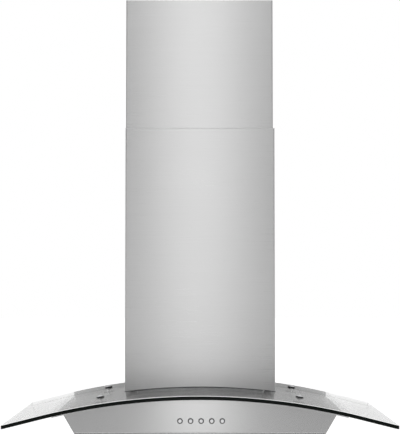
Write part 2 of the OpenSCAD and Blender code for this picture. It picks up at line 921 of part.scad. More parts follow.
module lamp_board(side) {
  translate([side * lamp_x, -lamp_y, floor_z + lamp_depth - lamp_wall - board_t])
    difference() {
      union() {
        cylinder(r = lamp_r - lamp_wall - 1, h = board_t, $fn = round_fn);
        for (turn = [0 : diode_turn : 360 - diode_turn])
          rotate([0, 0, turn])
            translate([diode_ring_r - diode_w / 2, -diode_w / 2, -board_t / 2])
              cube([diode_w, diode_w, board_t]);
      }
      translate([0, 0, -board_t - past])
        cylinder(r = wiring_r + hole_play, h = 2 * board_t + 2 * past, $fn = round_fn);
    }
}

module lamp_left_cup() { lift() color([0.8, 0.8, 0.81]) lamp_cup(-1); }
module lamp_right_cup() { lift() color([0.8, 0.8, 0.81]) lamp_cup(1); }
module lamp_left_lens() { lift() color([0.95, 0.95, 0.92]) lamp_lens(-1); }
module lamp_right_lens() { lift() color([0.95, 0.95, 0.92]) lamp_lens(1); }
module lamp_left_board() { lift() color([0.9, 0.85, 0.3]) lamp_board(-1); }
module lamp_right_board() { lift() color([0.9, 0.85, 0.3]) lamp_board(1); }

// Fan box

// Repeats its children at the foot screws, on the top plate's outer face
module at_foot_screws() {
  x = box_w / 2 - box_t - foot_w / 2;
  for (side = [-1, 1], share = [0.2, 0.5, 0.8])
    on_drum(plate_r, side * x, -share * box_d) children();
}

module fan_box() {
  half = box_w / 2;
  throat_x = half - box_t - foot_w;
  throat_y = box_t + foot_w;
  lift() color([0.68, 0.69, 0.7])
    difference() {
      block([-half, -box_d, -body_drop], [half, 0, box_h]);
      drum(plate_r, -box_d - past, past);
      difference() {
        block([-half + box_t, -box_d + box_t, -body_drop], [half - box_t, -box_t, box_h - box_t]);
        drum(plate_r + box_t, -box_d - past, past);
      }
      block([-throat_x, -box_d + throat_y, -body_drop], [throat_x, -throat_y, box_t]);
      rod_z(collar_in - ledge_w, 0, -outlet_y, box_h - 2 * box_t, box_h + past);
      for (x = [-1, 1], z = [-1, 1])
        rod_y(hang_r, x * hang_x / 2, -box_t - past, past, hang_rise + z * hang_z / 2);
      rod_z(wiring_r + hole_play, wiring_hole_x, -box_d + wiring_wall_y, box_h - 2 * box_t,
        box_h + past);
      at_foot_screws()
        cylinder(r = screw_r + hole_play, h = 2 * screw_l, center = true, $fn = round_fn);
      at_collar_screws()
        cylinder(r = screw_r + hole_play, h = 2 * screw_l, center = true, $fn = round_fn);
      at_tab_screws(0)
        cylinder(r = screw_r + hole_play, h = 2 * screw_l, center = true, $fn = round_fn);
    }
}

module fan_box_screws() {
  lift() color([0.75, 0.75, 0.76])
    at_foot_screws()
      translate([0, 0, -plate_t - seat_gap]) mirror([0, 0, 1]) screw(screw_l);
}

// Fan

// Inner radius of the scroll at an angle from its tongue, growing evenly all the way round
function scroll_radius(turn) =
  scroll_start_r + (scroll_end_r - scroll_start_r) * turn / scroll_turn;

// The scroll's outline in Y and Z, drawn out by grow, from its tongue round to the outlet
module scroll_outline(grow, from, top) {
  steps = 60;
  polygon(concat(
    [[-fan_y + grow, top]],
    [for (i = [0 : steps])
      let (turn = from + (scroll_turn - from) * i / steps, r = scroll_radius(turn) + grow)
        [-fan_y + r * sin(turn), fan_z + r * cos(turn)]],
    [[-fan_y - scroll_end_r - grow, top]]
  ));
}

module scroll_housing() {
  top = box_h - box_t;
  lift() color([0.16, 0.17, 0.18])
    difference() {
      along_x(-scroll_w / 2, scroll_w / 2) scroll_outline(scroll_t, 4, top);
      along_x(-scroll_w / 2 + scroll_t, scroll_w / 2 - scroll_t) scroll_outline(0, 0, top + past);
      rod_x(inlet_r + ring_wall + hole_play, -scroll_w, scroll_w, -fan_y, fan_z);
    }
}

module inlet_rings() {
  lift() color([0.2, 0.2, 0.21])
    for (side = [-1, 1])
      translate([side * scroll_w / 2, -fan_y, fan_z])
        rotate([0, side * 90, 0])
          difference() {
            union() {
              cylinder(r = inlet_r + ring_flange, h = ring_t, $fn = round_fn);
              translate([0, 0, -ring_lip])
                cylinder(r = inlet_r + ring_wall, h = ring_lip + ring_t, $fn = round_fn);
            }
            translate([0, 0, -ring_lip - past])
              cylinder(r = inlet_r, h = ring_lip + ring_t + 2 * past, $fn = round_fn);
          }
}

module motor_bracket() {
  x = -scroll_w / 2;
  plate_centre_r = 0.6 * motor_r;
  spoke_w = 12;
  lift() color([0.6, 0.6, 0.6]) {
    difference() {
      rod_x(inlet_r + bracket_ring_out, x - ring_t, x, -fan_y, fan_z);
      rod_x(inlet_r + bracket_ring_in, x - ring_t - past, x + past, -fan_y, fan_z);
    }
    difference() {
      union() {
        rod_x(plate_centre_r, x - ring_t - bracket_plate, x - ring_t, -fan_y, fan_z);
        for (turn = [60 : 120 : 300])
          translate([x - ring_t - bracket_plate, -fan_y, fan_z])
            rotate([turn, 0, 0])
              translate([0, -spoke_w / 2, 0])
                cube([bracket_plate, spoke_w, inlet_r + bracket_ring_out - past]);
      }
      rod_x(shaft_r + past, x - 2 * ring_t - bracket_plate, x, -fan_y, fan_z);
    }
  }
}

module motor() {
  lift() color([0.3, 0.3, 0.31])
    difference() {
      union() {
        rod_x(motor_r, motor_x0, motor_x1 - nose_l, -fan_y, fan_z);
        rod_x(nose_r, motor_x1 - nose_l - past, motor_x1, -fan_y, fan_z);
      }
      rod_x(shaft_r + shaft_play, motor_x1 - shaft_in_motor, motor_x1 + past, -fan_y, fan_z);
    }
}

module motor_shaft() {
  lift() color([0.8, 0.8, 0.8])
    rod_x(shaft_r, motor_x1 - shaft_in_motor + past, hub_x0 + hub_l + shaft_out, -fan_y,
      fan_z);
}

// One forward-curved blade in Y and Z, between the wheel's inner and outer radius
module blade_outline() {
  inner = wheel_r - blade_d;
  steps = 5;
  thick = 1;
  tip_lean = 16;
  function lean(r) = tip_lean * pow((r - inner) / blade_d, 2);
  function edge(r, off) = [r * cos(lean(r)) - off * sin(lean(r)), r * sin(lean(r)) + off];
  radii = [for (i = [0 : steps]) inner + thick + (blade_d - 2 * thick) * i / steps];
  polygon(concat(
    [for (r = radii) edge(r, thick / 2)],
    [for (i = [steps : -1 : 0]) edge(radii[i], -thick / 2)]
  ));
}

module fan_wheel() {
  x0 = -wheel_w / 2;
  inner = wheel_r - blade_d;
  lift() color([0.5, 0.5, 0.52])
    translate([0, -fan_y, fan_z])
      difference() {
        union() {
          for (i = [0 : blade_n - 1])
            rotate([i * 360 / blade_n, 0, 0])
              along_x(x0, -x0) blade_outline();
          for (x = [x0, -x0 - disc_t])
            difference() {
              rod_x(wheel_r, x, x + disc_t, 0, 0);
              rod_x(inner, x - past, x + disc_t + past, 0, 0);
            }
          rod_x(inner + blade_d / 2, hub_x0 + hub_l / 2, hub_x0 + hub_l / 2 + disc_t, 0, 0);
          rod_x(hub_r, hub_x0, hub_x0 + hub_l, 0, 0);
        }
        rod_x(shaft_r, hub_x0 - past, hub_x0 + hub_l + past, 0, 0);
      }
}

// Duct collar and dampers

module at_collar_screws() {
  for (turn = [45 : 90 : 315])
    translate([0, -outlet_y, collar_z])
      rotate([0, 0, turn])
        translate([collar_r + collar_foot_w / 2, 0, collar_foot_t])
          children();
}

module duct_collar() {
  seat_top = pin_rise - ledge_gap - damper_t / 2;
  lift() color([0.09, 0.09, 0.1])
    difference() {
      translate([0, -outlet_y, collar_z])
        difference() {
          union() {
            cylinder(r = collar_r, h = collar_h, $fn = round_fn);
            cylinder(r = collar_r + collar_foot_w, h = collar_foot_t, $fn = round_fn);
            cylinder(r = collar_r + shoulder_w, h = shoulder_h, $fn = round_fn);
          }
          difference() {
            translate([0, 0, -past])
              cylinder(r = collar_in, h = collar_h + 2 * past, $fn = round_fn);
            translate([0, 0, seat_top - ledge_t])
              difference() {
                cylinder(r = collar_r, h = ledge_t, $fn = round_fn);
                translate([0, 0, -past])
                  cylinder(r = collar_in - ledge_w, h = ledge_t + 2 * past, $fn = round_fn);
                translate([-collar_r, -leaf_in, -past])
                  cube([2 * collar_r, 2 * leaf_in, ledge_t + 2 * past]);
              }
          }
          translate([-collar_r - past, 0, pin_rise])
            rotate([0, 90, 0])
              cylinder(r = pin_r, h = 2 * collar_r + 2 * past, $fn = round_fn);
        }
      at_collar_screws()
        cylinder(r = screw_r + hole_play, h = 2 * screw_l, center = true, $fn = round_fn);
    }
}

module collar_screws() {
  lift() color([0.75, 0.75, 0.76]) at_collar_screws() screw(screw_l);
}

module damper_pin() {
  half = collar_r - 2 * seat_gap;
  lift() color([0.8, 0.8, 0.8])
    rod_x(pin_r, -half, half, -outlet_y, pin_z);
}

// Where a damper's hinge barrels start along the pin: the two dampers' barrels take turns
function barrel_starts(side) =
  [for (i = [-1 : 0]) 2 * i * barrel_step + (side < 0 ? 0 : barrel_step)];

module damper(side) {
  translate([0, -outlet_y, pin_z])
    difference() {
      union() {
        intersection() {
          translate([0, 0, -damper_t / 2]) cylinder(r = damper_r, h = damper_t, $fn = round_fn);
          translate([-collar_r, side > 0 ? leaf_in : -leaf_in - collar_r, -damper_t])
            cube([2 * collar_r, collar_r, 2 * damper_t]);
        }
        for (x = barrel_starts(side)) {
          rod_x(hinge_r, x, x + hinge_l, 0, 0);
          translate([x, side > 0 ? 0 : -leaf_in - past, -damper_t / 2])
            cube([hinge_l, leaf_in + past, damper_t]);
        }
      }
      rod_x(hinge_bore_r, -collar_r, collar_r, 0, 0);
    }
}

module damper_front() { lift() color([0.55, 0.56, 0.57]) damper(-1); }
module damper_rear() { lift() color([0.55, 0.56, 0.57]) damper(1); }

// Chimney covers

// The plan of a cover: front and two sides, with flanges turned in at the wall
module cover_plan(width, front_y, wall_gap) {
  half = width / 2;
  open_half = half - cover_flange_w;
  inner_bend = cover_bend_r - cover_t;
  difference() {
    round_rect([-half, -front_y], [half, -wall_gap], cover_bend_r);
    round_rect([-half + cover_t, -front_y + cover_t], [half - cover_t, -wall_gap - cover_t],
      inner_bend);
    translate([-open_half, -wall_gap - 4 * cover_t]) square([2 * open_half, 6 * cover_t]);
  }
}

// Repeats its children at the screws that hold the lower cover, with z pointing out sideways
module at_tab_screws(out) {
  for (side = [-1, 1], y = [tab_rear_y, tab_front_y])
    translate([side * (out > 0 ? out : box_w / 2), -y, tab_rise + tab_h / 2])
      rotate([0, side * 90, 0])
        children();
}

module chimney_lower() {
  deepest = -2 * cover_bend_r - pow(lower_w, 2) / glass_r;
  lift() color([0.76, 0.76, 0.77])
    difference() {
      translate([0, 0, deepest])
        linear_extrude(seam_h - deepest)
          cover_plan(lower_w, chimney_d, cover_wall_gap);
      drum(glass_r + seal_t, -chimney_d - past, past);
      at_tab_screws(lower_w / 2)
        cylinder(r = screw_r + hole_play, h = 2 * screw_l, center = true, $fn = round_fn);
    }
}

module chimney_seal() {
  half = lower_w / 2;
  inner = 4;
  lift() color([0.05, 0.05, 0.05])
    intersection() {
      difference() {
        drum(glass_r + seal_t, -chimney_d - 2 * seal_out, 0);
        drum(glass_r + fold_gap, -chimney_d - 3 * seal_out, past);
      }
      translate([0, 0, -body_drop])
        linear_extrude(2 * body_drop)
          difference() {
            round_rect([-half - seal_out, -chimney_d - seal_out], [half + seal_out, -glass_wall_gap],
              cover_bend_r);
            translate([-half + inner, -chimney_d + inner])
              square([2 * (half - inner), chimney_d]);
          }
    }
}

module chimney_tabs() {
  inner = box_w / 2;
  lift() color([0.7, 0.7, 0.7])
    difference() {
      for (side = [-1, 1], y = [tab_rear_y, tab_front_y])
        scale([side, 1, 1])
          difference() {
            block([inner, -y - tab_d / 2, tab_rise], [tab_out, -y + tab_d / 2, tab_rise + tab_h]);
            block([inner + bracket_t, -y - tab_d, tab_rise + bracket_t],
              [tab_out - bracket_t, -y + tab_d, tab_rise + tab_h + past]);
          }
      at_tab_screws(0)
        cylinder(r = screw_r + hole_play, h = lower_w, center = true, $fn = round_fn);
    }
}

module chimney_screws() {
  lift() color([0.75, 0.75, 0.76]) {
    at_tab_screws(lower_w / 2) screw(screw_l);
    at_tab_screws(box_w / 2 + bracket_t) screw(screw_l);
  }
}

module chimney_upper() {
  notch_z = bracket_z - bracket_gap;
  lift() color([0.78, 0.78, 0.79])
    translate([upper_shift, 0, 0])
      difference() {
        translate([0, 0, top_h - upper_h])
          linear_extrude(upper_h)
            cover_plan(upper_w, upper_front_y, upper_wall_gap);
        block([-upper_inner_half, -upper_wall_gap - 4 * cover_t, notch_z],
          [upper_inner_half, past, top_h + past]);
        at_ceiling_screws()
          cylinder(r = screw_r + hole_play, h = 2 * screw_l, center = true, $fn = round_fn);
      }
}

// Repeats its children at the ceiling bracket's screws, about the upper cover's centre line
module at_ceiling_screws() {
  for (side = [-1, 1])
    translate([side * upper_w / 2, -0.7 * arm_d, bracket_z + bracket_h / 2])
      rotate([0, side * 90, 0])
        children();
}

module ceiling_bracket() {
  half = upper_inner_half - bracket_gap;
  top = bracket_z + bracket_h;
  lift() color([0.7, 0.7, 0.71])
    translate([upper_shift, 0, 0])
      difference() {
        block([-half, -arm_d, bracket_z], [half, 0, top]);
        block([-half + bracket_t, -arm_d - past, bracket_z - past],
          [half - bracket_t, -bracket_t, top + past]);
        for (side = [-1, 1])
          rod_y(bracket_hole_r, side * bracket_hole_x, -bracket_t - past, past,
            bracket_z + bracket_h / 2);
        at_ceiling_screws()
          cylinder(r = screw_r + hole_play, h = 2 * screw_l, center = true, $fn = round_fn);
      }
}

module ceiling_screws() {
  lift() color([0.75, 0.75, 0.76])
    translate([upper_shift, 0, 0]) at_ceiling_screws() screw(screw_l / 2);
}

// Electrical pieces, on top of the fan box

module junction_box() {
  lift() color([0.85, 0.85, 0.83])
    difference() {
      block([junction_x, -junction_rear_y - junction_d, box_h],
        [junction_x + junction_l, -junction_rear_y, box_h + junction_h - lid_t]);
      block([junction_x + junction_t, -junction_rear_y - junction_d + junction_t,
        box_h + junction_t],
        [junction_x + junction_l - junction_t, -junction_rear_y - junction_t, box_h + junction_h]);
      rod_y(wiring_r, wiring_side_x, -junction_rear_y - junction_d - past,
        -junction_rear_y - junction_d + 2 * junction_t, wiring_top_z + junction_t);
    }
}

module junction_lid() {
  lift() color([0.87, 0.87, 0.85])
    difference() {
      block([junction_x, -junction_rear_y - junction_d, box_h + junction_h - lid_t],
        [junction_x + junction_l, -junction_rear_y, box_h + junction_h]);
      rod_z(gland_r + gland_wall, gland_x, gland_y, box_h + junction_h - 2 * lid_t,
        box_h + junction_h + past);
    }
}

module terminal_block() {
  half_w = cell_n * cell_w / 2;
  half_d = terminal_d / 2;
  low = box_h + junction_t;
  lift() color([0.9, 0.9, 0.88])
    difference() {
      block([gland_x - half_w, gland_y - half_d, low],
        [gland_x + half_w, gland_y + half_d, low + terminal_h]);
      for (i = [0 : cell_n - 1])
        rod_y(terminal_bore_r, gland_x - half_w + (i + 0.5) * cell_w, gland_y - half_d - past,
          gland_y + half_d + past, low + 2 * terminal_bore_r);
    }
}

module cable_gland() {
  low = box_h + junction_h;
  lift() color([0.1, 0.1, 0.1])
    difference() {
      union() {
        rod_z(gland_r + gland_wall, gland_x, gland_y, low - lid_t - gland_below,
          low + gland_nut_h + gland_below);
        translate([gland_x, gland_y, low])
          cylinder(r = gland_r + gland_nut_w, h = gland_nut_h, $fn = 6);
        rod_z(gland_r + gland_cap_w, gland_x, gland_y, low + gland_nut_h + gland_below - past,
          low + gland_top);
      }
      rod_z(gland_r, gland_x, gland_y, low - lid_t - gland_below - past, low + gland_top + past);
    }
}

module led_driver() {
  lift() color([0.93, 0.93, 0.93]) {
    block([driver_x, -junction_rear_y - driver_d, box_h],
      [driver_x + driver_l, -junction_rear_y, box_h + driver_h]);
  }
}

module capacitor() {
  lift() color([0.75, 0.76, 0.78])
    rod_x(capacitor_r, capacitor_x - capacitor_l / 2, capacitor_x + capacitor_l / 2, capacitor_y,
      capacitor_z);
}

module capacitor_strap() {
  x = capacitor_x;
  y = capacitor_y;
  z = capacitor_z;
  half = strap_w / 2;
  grip = capacitor_r + seat_gap;
  lift() color([0.7, 0.7, 0.7])
    difference() {
      union() {
        rod_x(grip + bracket_t, x - half, x + half, y, z);
        block([x - half, y - grip - bracket_t, box_h], [x + half, y + grip + bracket_t, z]);
        block([x - half, y - grip - strap_foot, box_h], [x + half, y, box_h + bracket_t]);
      }
      rod_x(grip, x - strap_w, x + strap_w, y, z);
      block([x - strap_w, y - grip, box_h - past], [x + strap_w, y + grip, z]);
      block([x - strap_w, y - 2 * grip, box_h - grip], [x + strap_w, y + 2 * grip, box_h]);
    }
}

// Wiring

function unit(v) = v / norm(v);
function heading(points, i) = unit(points[i + 1] - points[i]);

// A ring of points about p, square to the heading d
function first_ring(p, d) =
  let (u = unit(cross(d, abs(d[2]) < 0.9 ? [0, 0, 1] : [1, 0, 0])), v = cross(d, u))
    [for (k = [0 : lead_sides - 1])
      let (turn = 360 * k / lead_sides)
        p + wiring_r * (cos(turn) * u + sin(turn) * v)];

// Carries a ring along its heading to point i, onto the plane that halves the bend there
function next_rings(points, i, ring) =
  let (
    d = heading(points, i - 1),
    last = i == len(points) - 1,
    n = last ? d : unit(d + heading(points, i)),
    ahead = [for (p = ring) p + d * (((points[i] - p) * n) / (d * n))]
  )
    last ? [ahead] : concat([ahead], next_rings(points, i + 1, ahead));

// A lead along straight runs between points, with mitred bends
module lead(points) {
  start = first_ring(points[0], heading(points, 0));
  rings = concat([start], next_rings(points, 1, start));
  n = lead_sides;
  last = len(points) - 1;
  polyhedron(
    points = [for (ring = rings, p = ring) p],
    faces = concat(
      [[for (k = [0 : n - 1]) k]],
      [for (j = [0 : last - 1], k = [0 : n - 1])
        let (a = j * n + k, b = j * n + (k + 1) % n)
          [a, a + n, b + n, b]],
      [[for (k = [n - 1 : -1 : 0]) last * n + k]]
    )
  );
}

module wiring() {
  switch_y = -body_d + barrel_l + switch_d;
  plug = plug_half;
  joint_y = switch_y + 2.4 * plug;
  under_z = -(glass_r - plate_under_r) - 2 * wiring_r;
  throat_y = -box_d + box_t + foot_w + 1.5 * wiring_r;
  wall_y = -box_d + wiring_wall_y;
  lamp_top = floor_z + lamp_depth;
  top_z = wiring_top_z + junction_t;
  lift() color([0.15, 0.15, 0.15]) {
    lead([
      [wiring_hole_x, switch_y, button_z],
      [wiring_hole_x, joint_y - plug, button_z]
    ]);
    block([wiring_hole_x - plug, joint_y - plug, button_z - plug],
      [wiring_hole_x + plug, joint_y + plug, button_z + plug]);
    lead([
      [wiring_hole_x, joint_y, button_z + plug],
      [wiring_hole_x, joint_y, under_z],
      [wiring_hole_x, throat_y, under_z],
      [wiring_hole_x, throat_y, box_t + 3 * wiring_r],
      [wiring_hole_x, wall_y, box_t + 8 * wiring_r],
      [wiring_hole_x, wall_y, top_z],
      [wiring_side_x, wall_y, top_z],
      [wiring_side_x, -junction_rear_y - junction_d + junction_t, top_z]
    ]);
    for (side = [-1, 1])
      lead([
        [wiring_hole_x + side * plug, joint_y, button_z],
        [wiring_hole_x + side * 2 * plug, joint_y, button_z],
        [side * lamp_x, -lamp_y, button_z + plug],
        [side * lamp_x, -lamp_y, lamp_top - lamp_wall]
      ]);
  }
}

glass_canopy();
glass_pads();
glass_washers();
glass_bolts();
glass_nuts();
top_plate();
body_shell();
front_panel();
bottom_frame();
button_bezels();
switch_block();
button_1();
button_2();
button_3();
button_4();
button_5();
filter_left_frame();
filter_left_baffles();
filter_left_handle();
filter_right_frame();
filter_right_baffles();
filter_right_handle();
lamp_left_cup();
lamp_left_lens();
lamp_left_board();
lamp_right_cup();
lamp_right_lens();
lamp_right_board();
fan_box();
fan_box_screws();
scroll_housing();
inlet_rings();
motor_bracket();
motor();
motor_shaft();
fan_wheel();
duct_collar();
collar_screws();
damper_pin();
damper_front();
damper_rear();
chimney_lower();
chimney_seal();
chimney_tabs();
chimney_screws();
chimney_upper();
ceiling_bracket();
ceiling_screws();
junction_box();
junction_lid();
terminal_block();
cable_gland();
led_driver();
capacitor();
capacitor_strap();
wiring();
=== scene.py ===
# %% [markdown]
# This lesson dresses a wall-hung range hood. The real thing is folded stainless sheet, one
# arched pane of glass, a few turned and moulded fittings, and a fan inside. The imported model
# already holds every piece at its true size, so the lesson keeps the folded sheets as they
# are, gives each one its finish, and models again what shows its edges: the glass, the
# domed bolts, the buttons, the filters, the lamps and the screws.

# %% Load the frame
import math

import bmesh
import bpy
import numpy as np
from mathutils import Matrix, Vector
from mathutils.geometry import delaunay_2d_cdt


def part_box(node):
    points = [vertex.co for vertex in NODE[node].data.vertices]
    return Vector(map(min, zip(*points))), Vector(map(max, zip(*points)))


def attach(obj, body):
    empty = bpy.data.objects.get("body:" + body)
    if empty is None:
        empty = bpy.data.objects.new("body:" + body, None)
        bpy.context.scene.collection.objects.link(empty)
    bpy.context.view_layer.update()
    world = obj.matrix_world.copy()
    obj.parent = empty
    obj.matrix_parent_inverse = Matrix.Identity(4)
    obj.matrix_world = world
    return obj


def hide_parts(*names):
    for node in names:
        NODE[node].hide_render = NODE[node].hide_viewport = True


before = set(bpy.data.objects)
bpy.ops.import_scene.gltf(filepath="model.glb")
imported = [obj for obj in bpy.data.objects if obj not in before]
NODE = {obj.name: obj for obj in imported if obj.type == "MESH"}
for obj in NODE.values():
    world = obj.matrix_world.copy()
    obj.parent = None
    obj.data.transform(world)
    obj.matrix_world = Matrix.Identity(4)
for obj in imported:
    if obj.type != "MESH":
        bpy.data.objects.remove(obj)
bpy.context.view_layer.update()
MM = 0.001


# %% [markdown]
# Every new piece is a surface. It could be built from primitives and modifiers, but a
# surface worked out as a grid of points follows the real sizes exactly, and its rows and
# columns tell which points share a face.

# %% Helper: faces of a grid
def grid_faces(rows, cols, closed_rows=False, closed_cols=False):
    """Quads of a grid: corner (i, j) joins (i, j+1), (i+1, j+1) and (i+1, j)."""
    i = np.arange(rows if closed_rows else rows - 1)
    j = np.arange(cols if closed_cols else cols - 1)
    i, j = (a.ravel() for a in np.meshgrid(i, j, indexing="ij"))
    up, right = (i + 1) % rows, (j + 1) % cols
    corners = (i * cols + j, i * cols + right, up * cols + right, up * cols + j)
    return np.stack(corners, 1).tolist()


def joined(parts):
    """Points and faces of several parts as one pair: each part's corner numbers go up by
    the count of points before it."""
    starts = np.cumsum([0] + [len(points) for points, _ in parts[:-1]])
    faces = [[c + start for c in face] for (_, fs), start in zip(parts, starts) for face in fs]
    return np.vstack([points for points, _ in parts]), faces


# %% [markdown]
# The arrays become an object in one helper. It merges the doubled points where a grid
# closes or shrinks to a pole, turns the faces outwards, and keeps an edge sharp only where
# the faces meet at more than the crease angle. Then it hangs the piece on the moving body
# that it rides on, and hides the imported piece that it stands in for.

# %% Helper: put arrays into a mesh
def placed(name, data):
    """A new object in the scene that shows this mesh, camera or lamp."""
    thing = bpy.data.objects.new(name, data)
    bpy.context.scene.collection.objects.link(thing)
    return thing


def add_piece(name, parts, body, finish, stands_for=None, crease=32, which=None):
    """A closed mesh from (points, faces) pairs, smooth up to the crease angle in degrees.
    finish is one material or a list, and which gives the number in that list for each face."""
    points, faces = joined(parts)
    mesh = bpy.data.meshes.new(name)
    mesh.from_pydata(points.tolist(), [], faces)
    if which is not None:
        mesh.polygons.foreach_set("material_index", np.asarray(which, dtype=np.int32))
    work = bmesh.new()
    work.from_mesh(mesh)
    bmesh.ops.remove_doubles(work, verts=work.verts, dist=1e-6)
    bmesh.ops.dissolve_degenerate(work, edges=work.edges, dist=1e-7)
    bmesh.ops.recalc_face_normals(work, faces=work.faces)
    work.to_mesh(mesh)
    work.free()
    mesh.shade_smooth()
    mesh.set_sharp_from_angle(angle=math.radians(crease))
    for material in finish if isinstance(finish, list) else [finish]:
        mesh.materials.append(material)
    piece = placed(name, mesh)
    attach(piece, body)
    if stands_for:
        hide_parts(stands_for)
    print(f"{name}: {len(mesh.polygons)} faces on {body}")
    return piece


# %% [markdown]
# Bolts, washers, buttons, rings and lamps are turned on a lathe or pressed round. A Screw
# modifier would spin a drawn outline, and this helper does the same with arrays: each point
# of the profile becomes a ring. A second one takes the sharpness off a profile's corners,
# as a tool's radius does, because a rounded rim is what catches the light.

# %% Helper: turn a profile about an axis
def axes_for(axis):
    """Three unit vectors, the last along the axis."""
    n = np.array(axis, float) / np.linalg.norm(axis)
    side = np.cross(n, [0.0, 0.0, 1.0] if abs(n[2]) < 0.9 else [1.0, 0.0, 0.0])
    side /= np.linalg.norm(side)
    return side, np.cross(n, side), n


def turned(profile, centre, axis, steps):
    """A profile of (radius, height) points turned about an axis through centre: centre plus
    radius times (cos t, sin t) across the axis, plus height along it."""
    side, other, n = axes_for(axis)
    r, h = np.array(profile, float).T
    turn = np.linspace(0, 2 * math.pi, steps, endpoint=False)
    ring = np.cos(turn)[:, None] * side + np.sin(turn)[:, None] * other
    points = np.array(centre) + r[:, None, None] * ring + h[:, None, None] * n
    return points.reshape(-1, 3), grid_faces(len(profile), steps, closed_cols=True)


def rounded(corners, radius, steps=4):
    """An open profile with each inner corner c replaced by a curve that starts radius away:
    (1 - t)^2 a + 2 t (1 - t) c + t^2 b, where a and b lie before and after the corner."""
    corners = np.array(corners, float)
    out = [corners[0]]
    t = np.linspace(0, 1, steps)[:, None]
    for before, here, after in zip(corners, corners[1:], corners[2:]):
        to_b, to_a = before - here, after - here
        reach = min(radius, 0.45 * np.linalg.norm(to_b), 0.45 * np.linalg.norm(to_a))
        a = here + to_b / np.linalg.norm(to_b) * reach
        b = here + to_a / np.linalg.norm(to_a) * reach
        out.extend((1 - t) ** 2 * a + 2 * t * (1 - t) * here + t**2 * b)
    out.append(corners[-1])
    return np.array(out)


# %% [markdown]
# Rolled edges, folded slats and bent wires are one section carried along a path. A curve
# object with a bevel could do that, but it would have to be turned into a mesh afterwards.
# The helper works out each ring itself: it halves the turn at every bend and widens the
# ring there, as a mitre does.

# %% Helper: carry a profile along a path
def swept(path, profile, up, closed=False):
    """A closed profile in (sideways, up) carried along a path: each path point plus sideways
    over the cosine of half the bend, plus up. An open path gets a face on each end."""
    path = np.array(path, float)
    ahead = np.roll(path, -1, 0) - path
    if not closed:
        ahead[-1] = ahead[-2]
    ahead /= np.linalg.norm(ahead, axis=1)[:, None]
    behind = np.roll(ahead, 1, 0)
    if not closed:
        behind[0] = ahead[0]
    along = ahead + behind
    along /= np.linalg.norm(along, axis=1)[:, None]
    side = np.cross(along, up)
    side /= np.linalg.norm(side, axis=1)[:, None]
    over = np.cross(side, along)
    widen = 1 / np.maximum((along * ahead).sum(1), 0.3)
    s, u = np.array(profile, float).T
    points = (path[:, None] + (side * widen[:, None])[:, None] * s[None, :, None]
              + over[:, None] * u[None, :, None])
    rows, cols = len(path), len(profile)
    faces = grid_faces(rows, cols, closed, True)
    if not closed:
        faces += [list(range(cols)), list(range((rows - 1) * cols, rows * cols))]
    return points.reshape(-1, 3), faces


def ellipse(half_wide, half_high, steps):
    """A round profile as (sideways, up) points: (a cos t, b sin t)."""
    turn = np.linspace(0, 2 * math.pi, steps, endpoint=False)
    return np.stack([half_wide * np.cos(turn), half_high * np.sin(turn)], 1)


# %% [markdown]
# A real surface is never one flat colour. Each finish starts from the Principled shader and
# lets a noise move its colour and roughness a little. Painted textures could do it too, but
# a noise on Object coordinates needs no unwrapping and stays with a piece that moves. A
# noise seldom leaves the middle of its range, so the helpers stretch 0.3 to 0.7 over it all.

# %% Helper: start a material
NOISE_LOW, NOISE_HIGH = 0.3, 0.7


def start_material(name):
    """A material's nodes, links and its Principled shader."""
    material = bpy.data.materials.new(name)
    material.use_nodes = True
    tree = material.node_tree
    return material, tree.nodes, tree.links, tree.nodes["Principled BSDF"]


def set_inputs(node, values):
    """Fixed values for a node's sockets, from a dictionary of socket names."""
    for socket, value in values.items():
        node.inputs[socket].default_value = value


def stretched_noise(nodes, links, stretch, detail=3.0):
    """Noise on Object coordinates, with its own count of grains per metre on each axis."""
    where = nodes.new("ShaderNodeTexCoord")
    mapping = nodes.new("ShaderNodeMapping")
    mapping.inputs["Scale"].default_value = stretch
    noise = nodes.new("ShaderNodeTexNoise")
    set_inputs(noise, {"Scale": 1.0, "Detail": detail, "Roughness": 0.6})
    links.new(where.outputs["Object"], mapping.inputs["Vector"])
    links.new(mapping.outputs["Vector"], noise.inputs["Vector"])
    return noise.outputs["Fac"]


def ranged(nodes, links, value, low, high, start=NOISE_LOW, end=NOISE_HIGH):
    """A value carried onto low to high: low + (high - low) (value - start) / (end - start)."""
    node = nodes.new("ShaderNodeMapRange")
    links.new(value, node.inputs["Value"])
    set_inputs(node, {"From Min": start, "From Max": end, "To Min": low, "To Max": high})
    return node.outputs["Result"]


def shaded(nodes, links, value, dark, light):
    """A colour that goes straight from dark to light while the value rises."""
    ramp = nodes.new("ShaderNodeValToRGB")
    first, last = ramp.color_ramp.elements
    first.position, last.position = NOISE_LOW, NOISE_HIGH
    first.color, last.color = (*dark, 1), (*light, 1)
    links.new(value, ramp.inputs["Fac"])
    return ramp.outputs["Color"]


def bumped(nodes, links, shader, value, height, strength):
    """A bump of that height in metres on the shader."""
    bump = nodes.new("ShaderNodeBump")
    set_inputs(bump, {"Distance": height, "Strength": strength})
    links.new(value, bump.inputs["Height"])
    links.new(bump.outputs["Normal"], shader.inputs["Normal"])
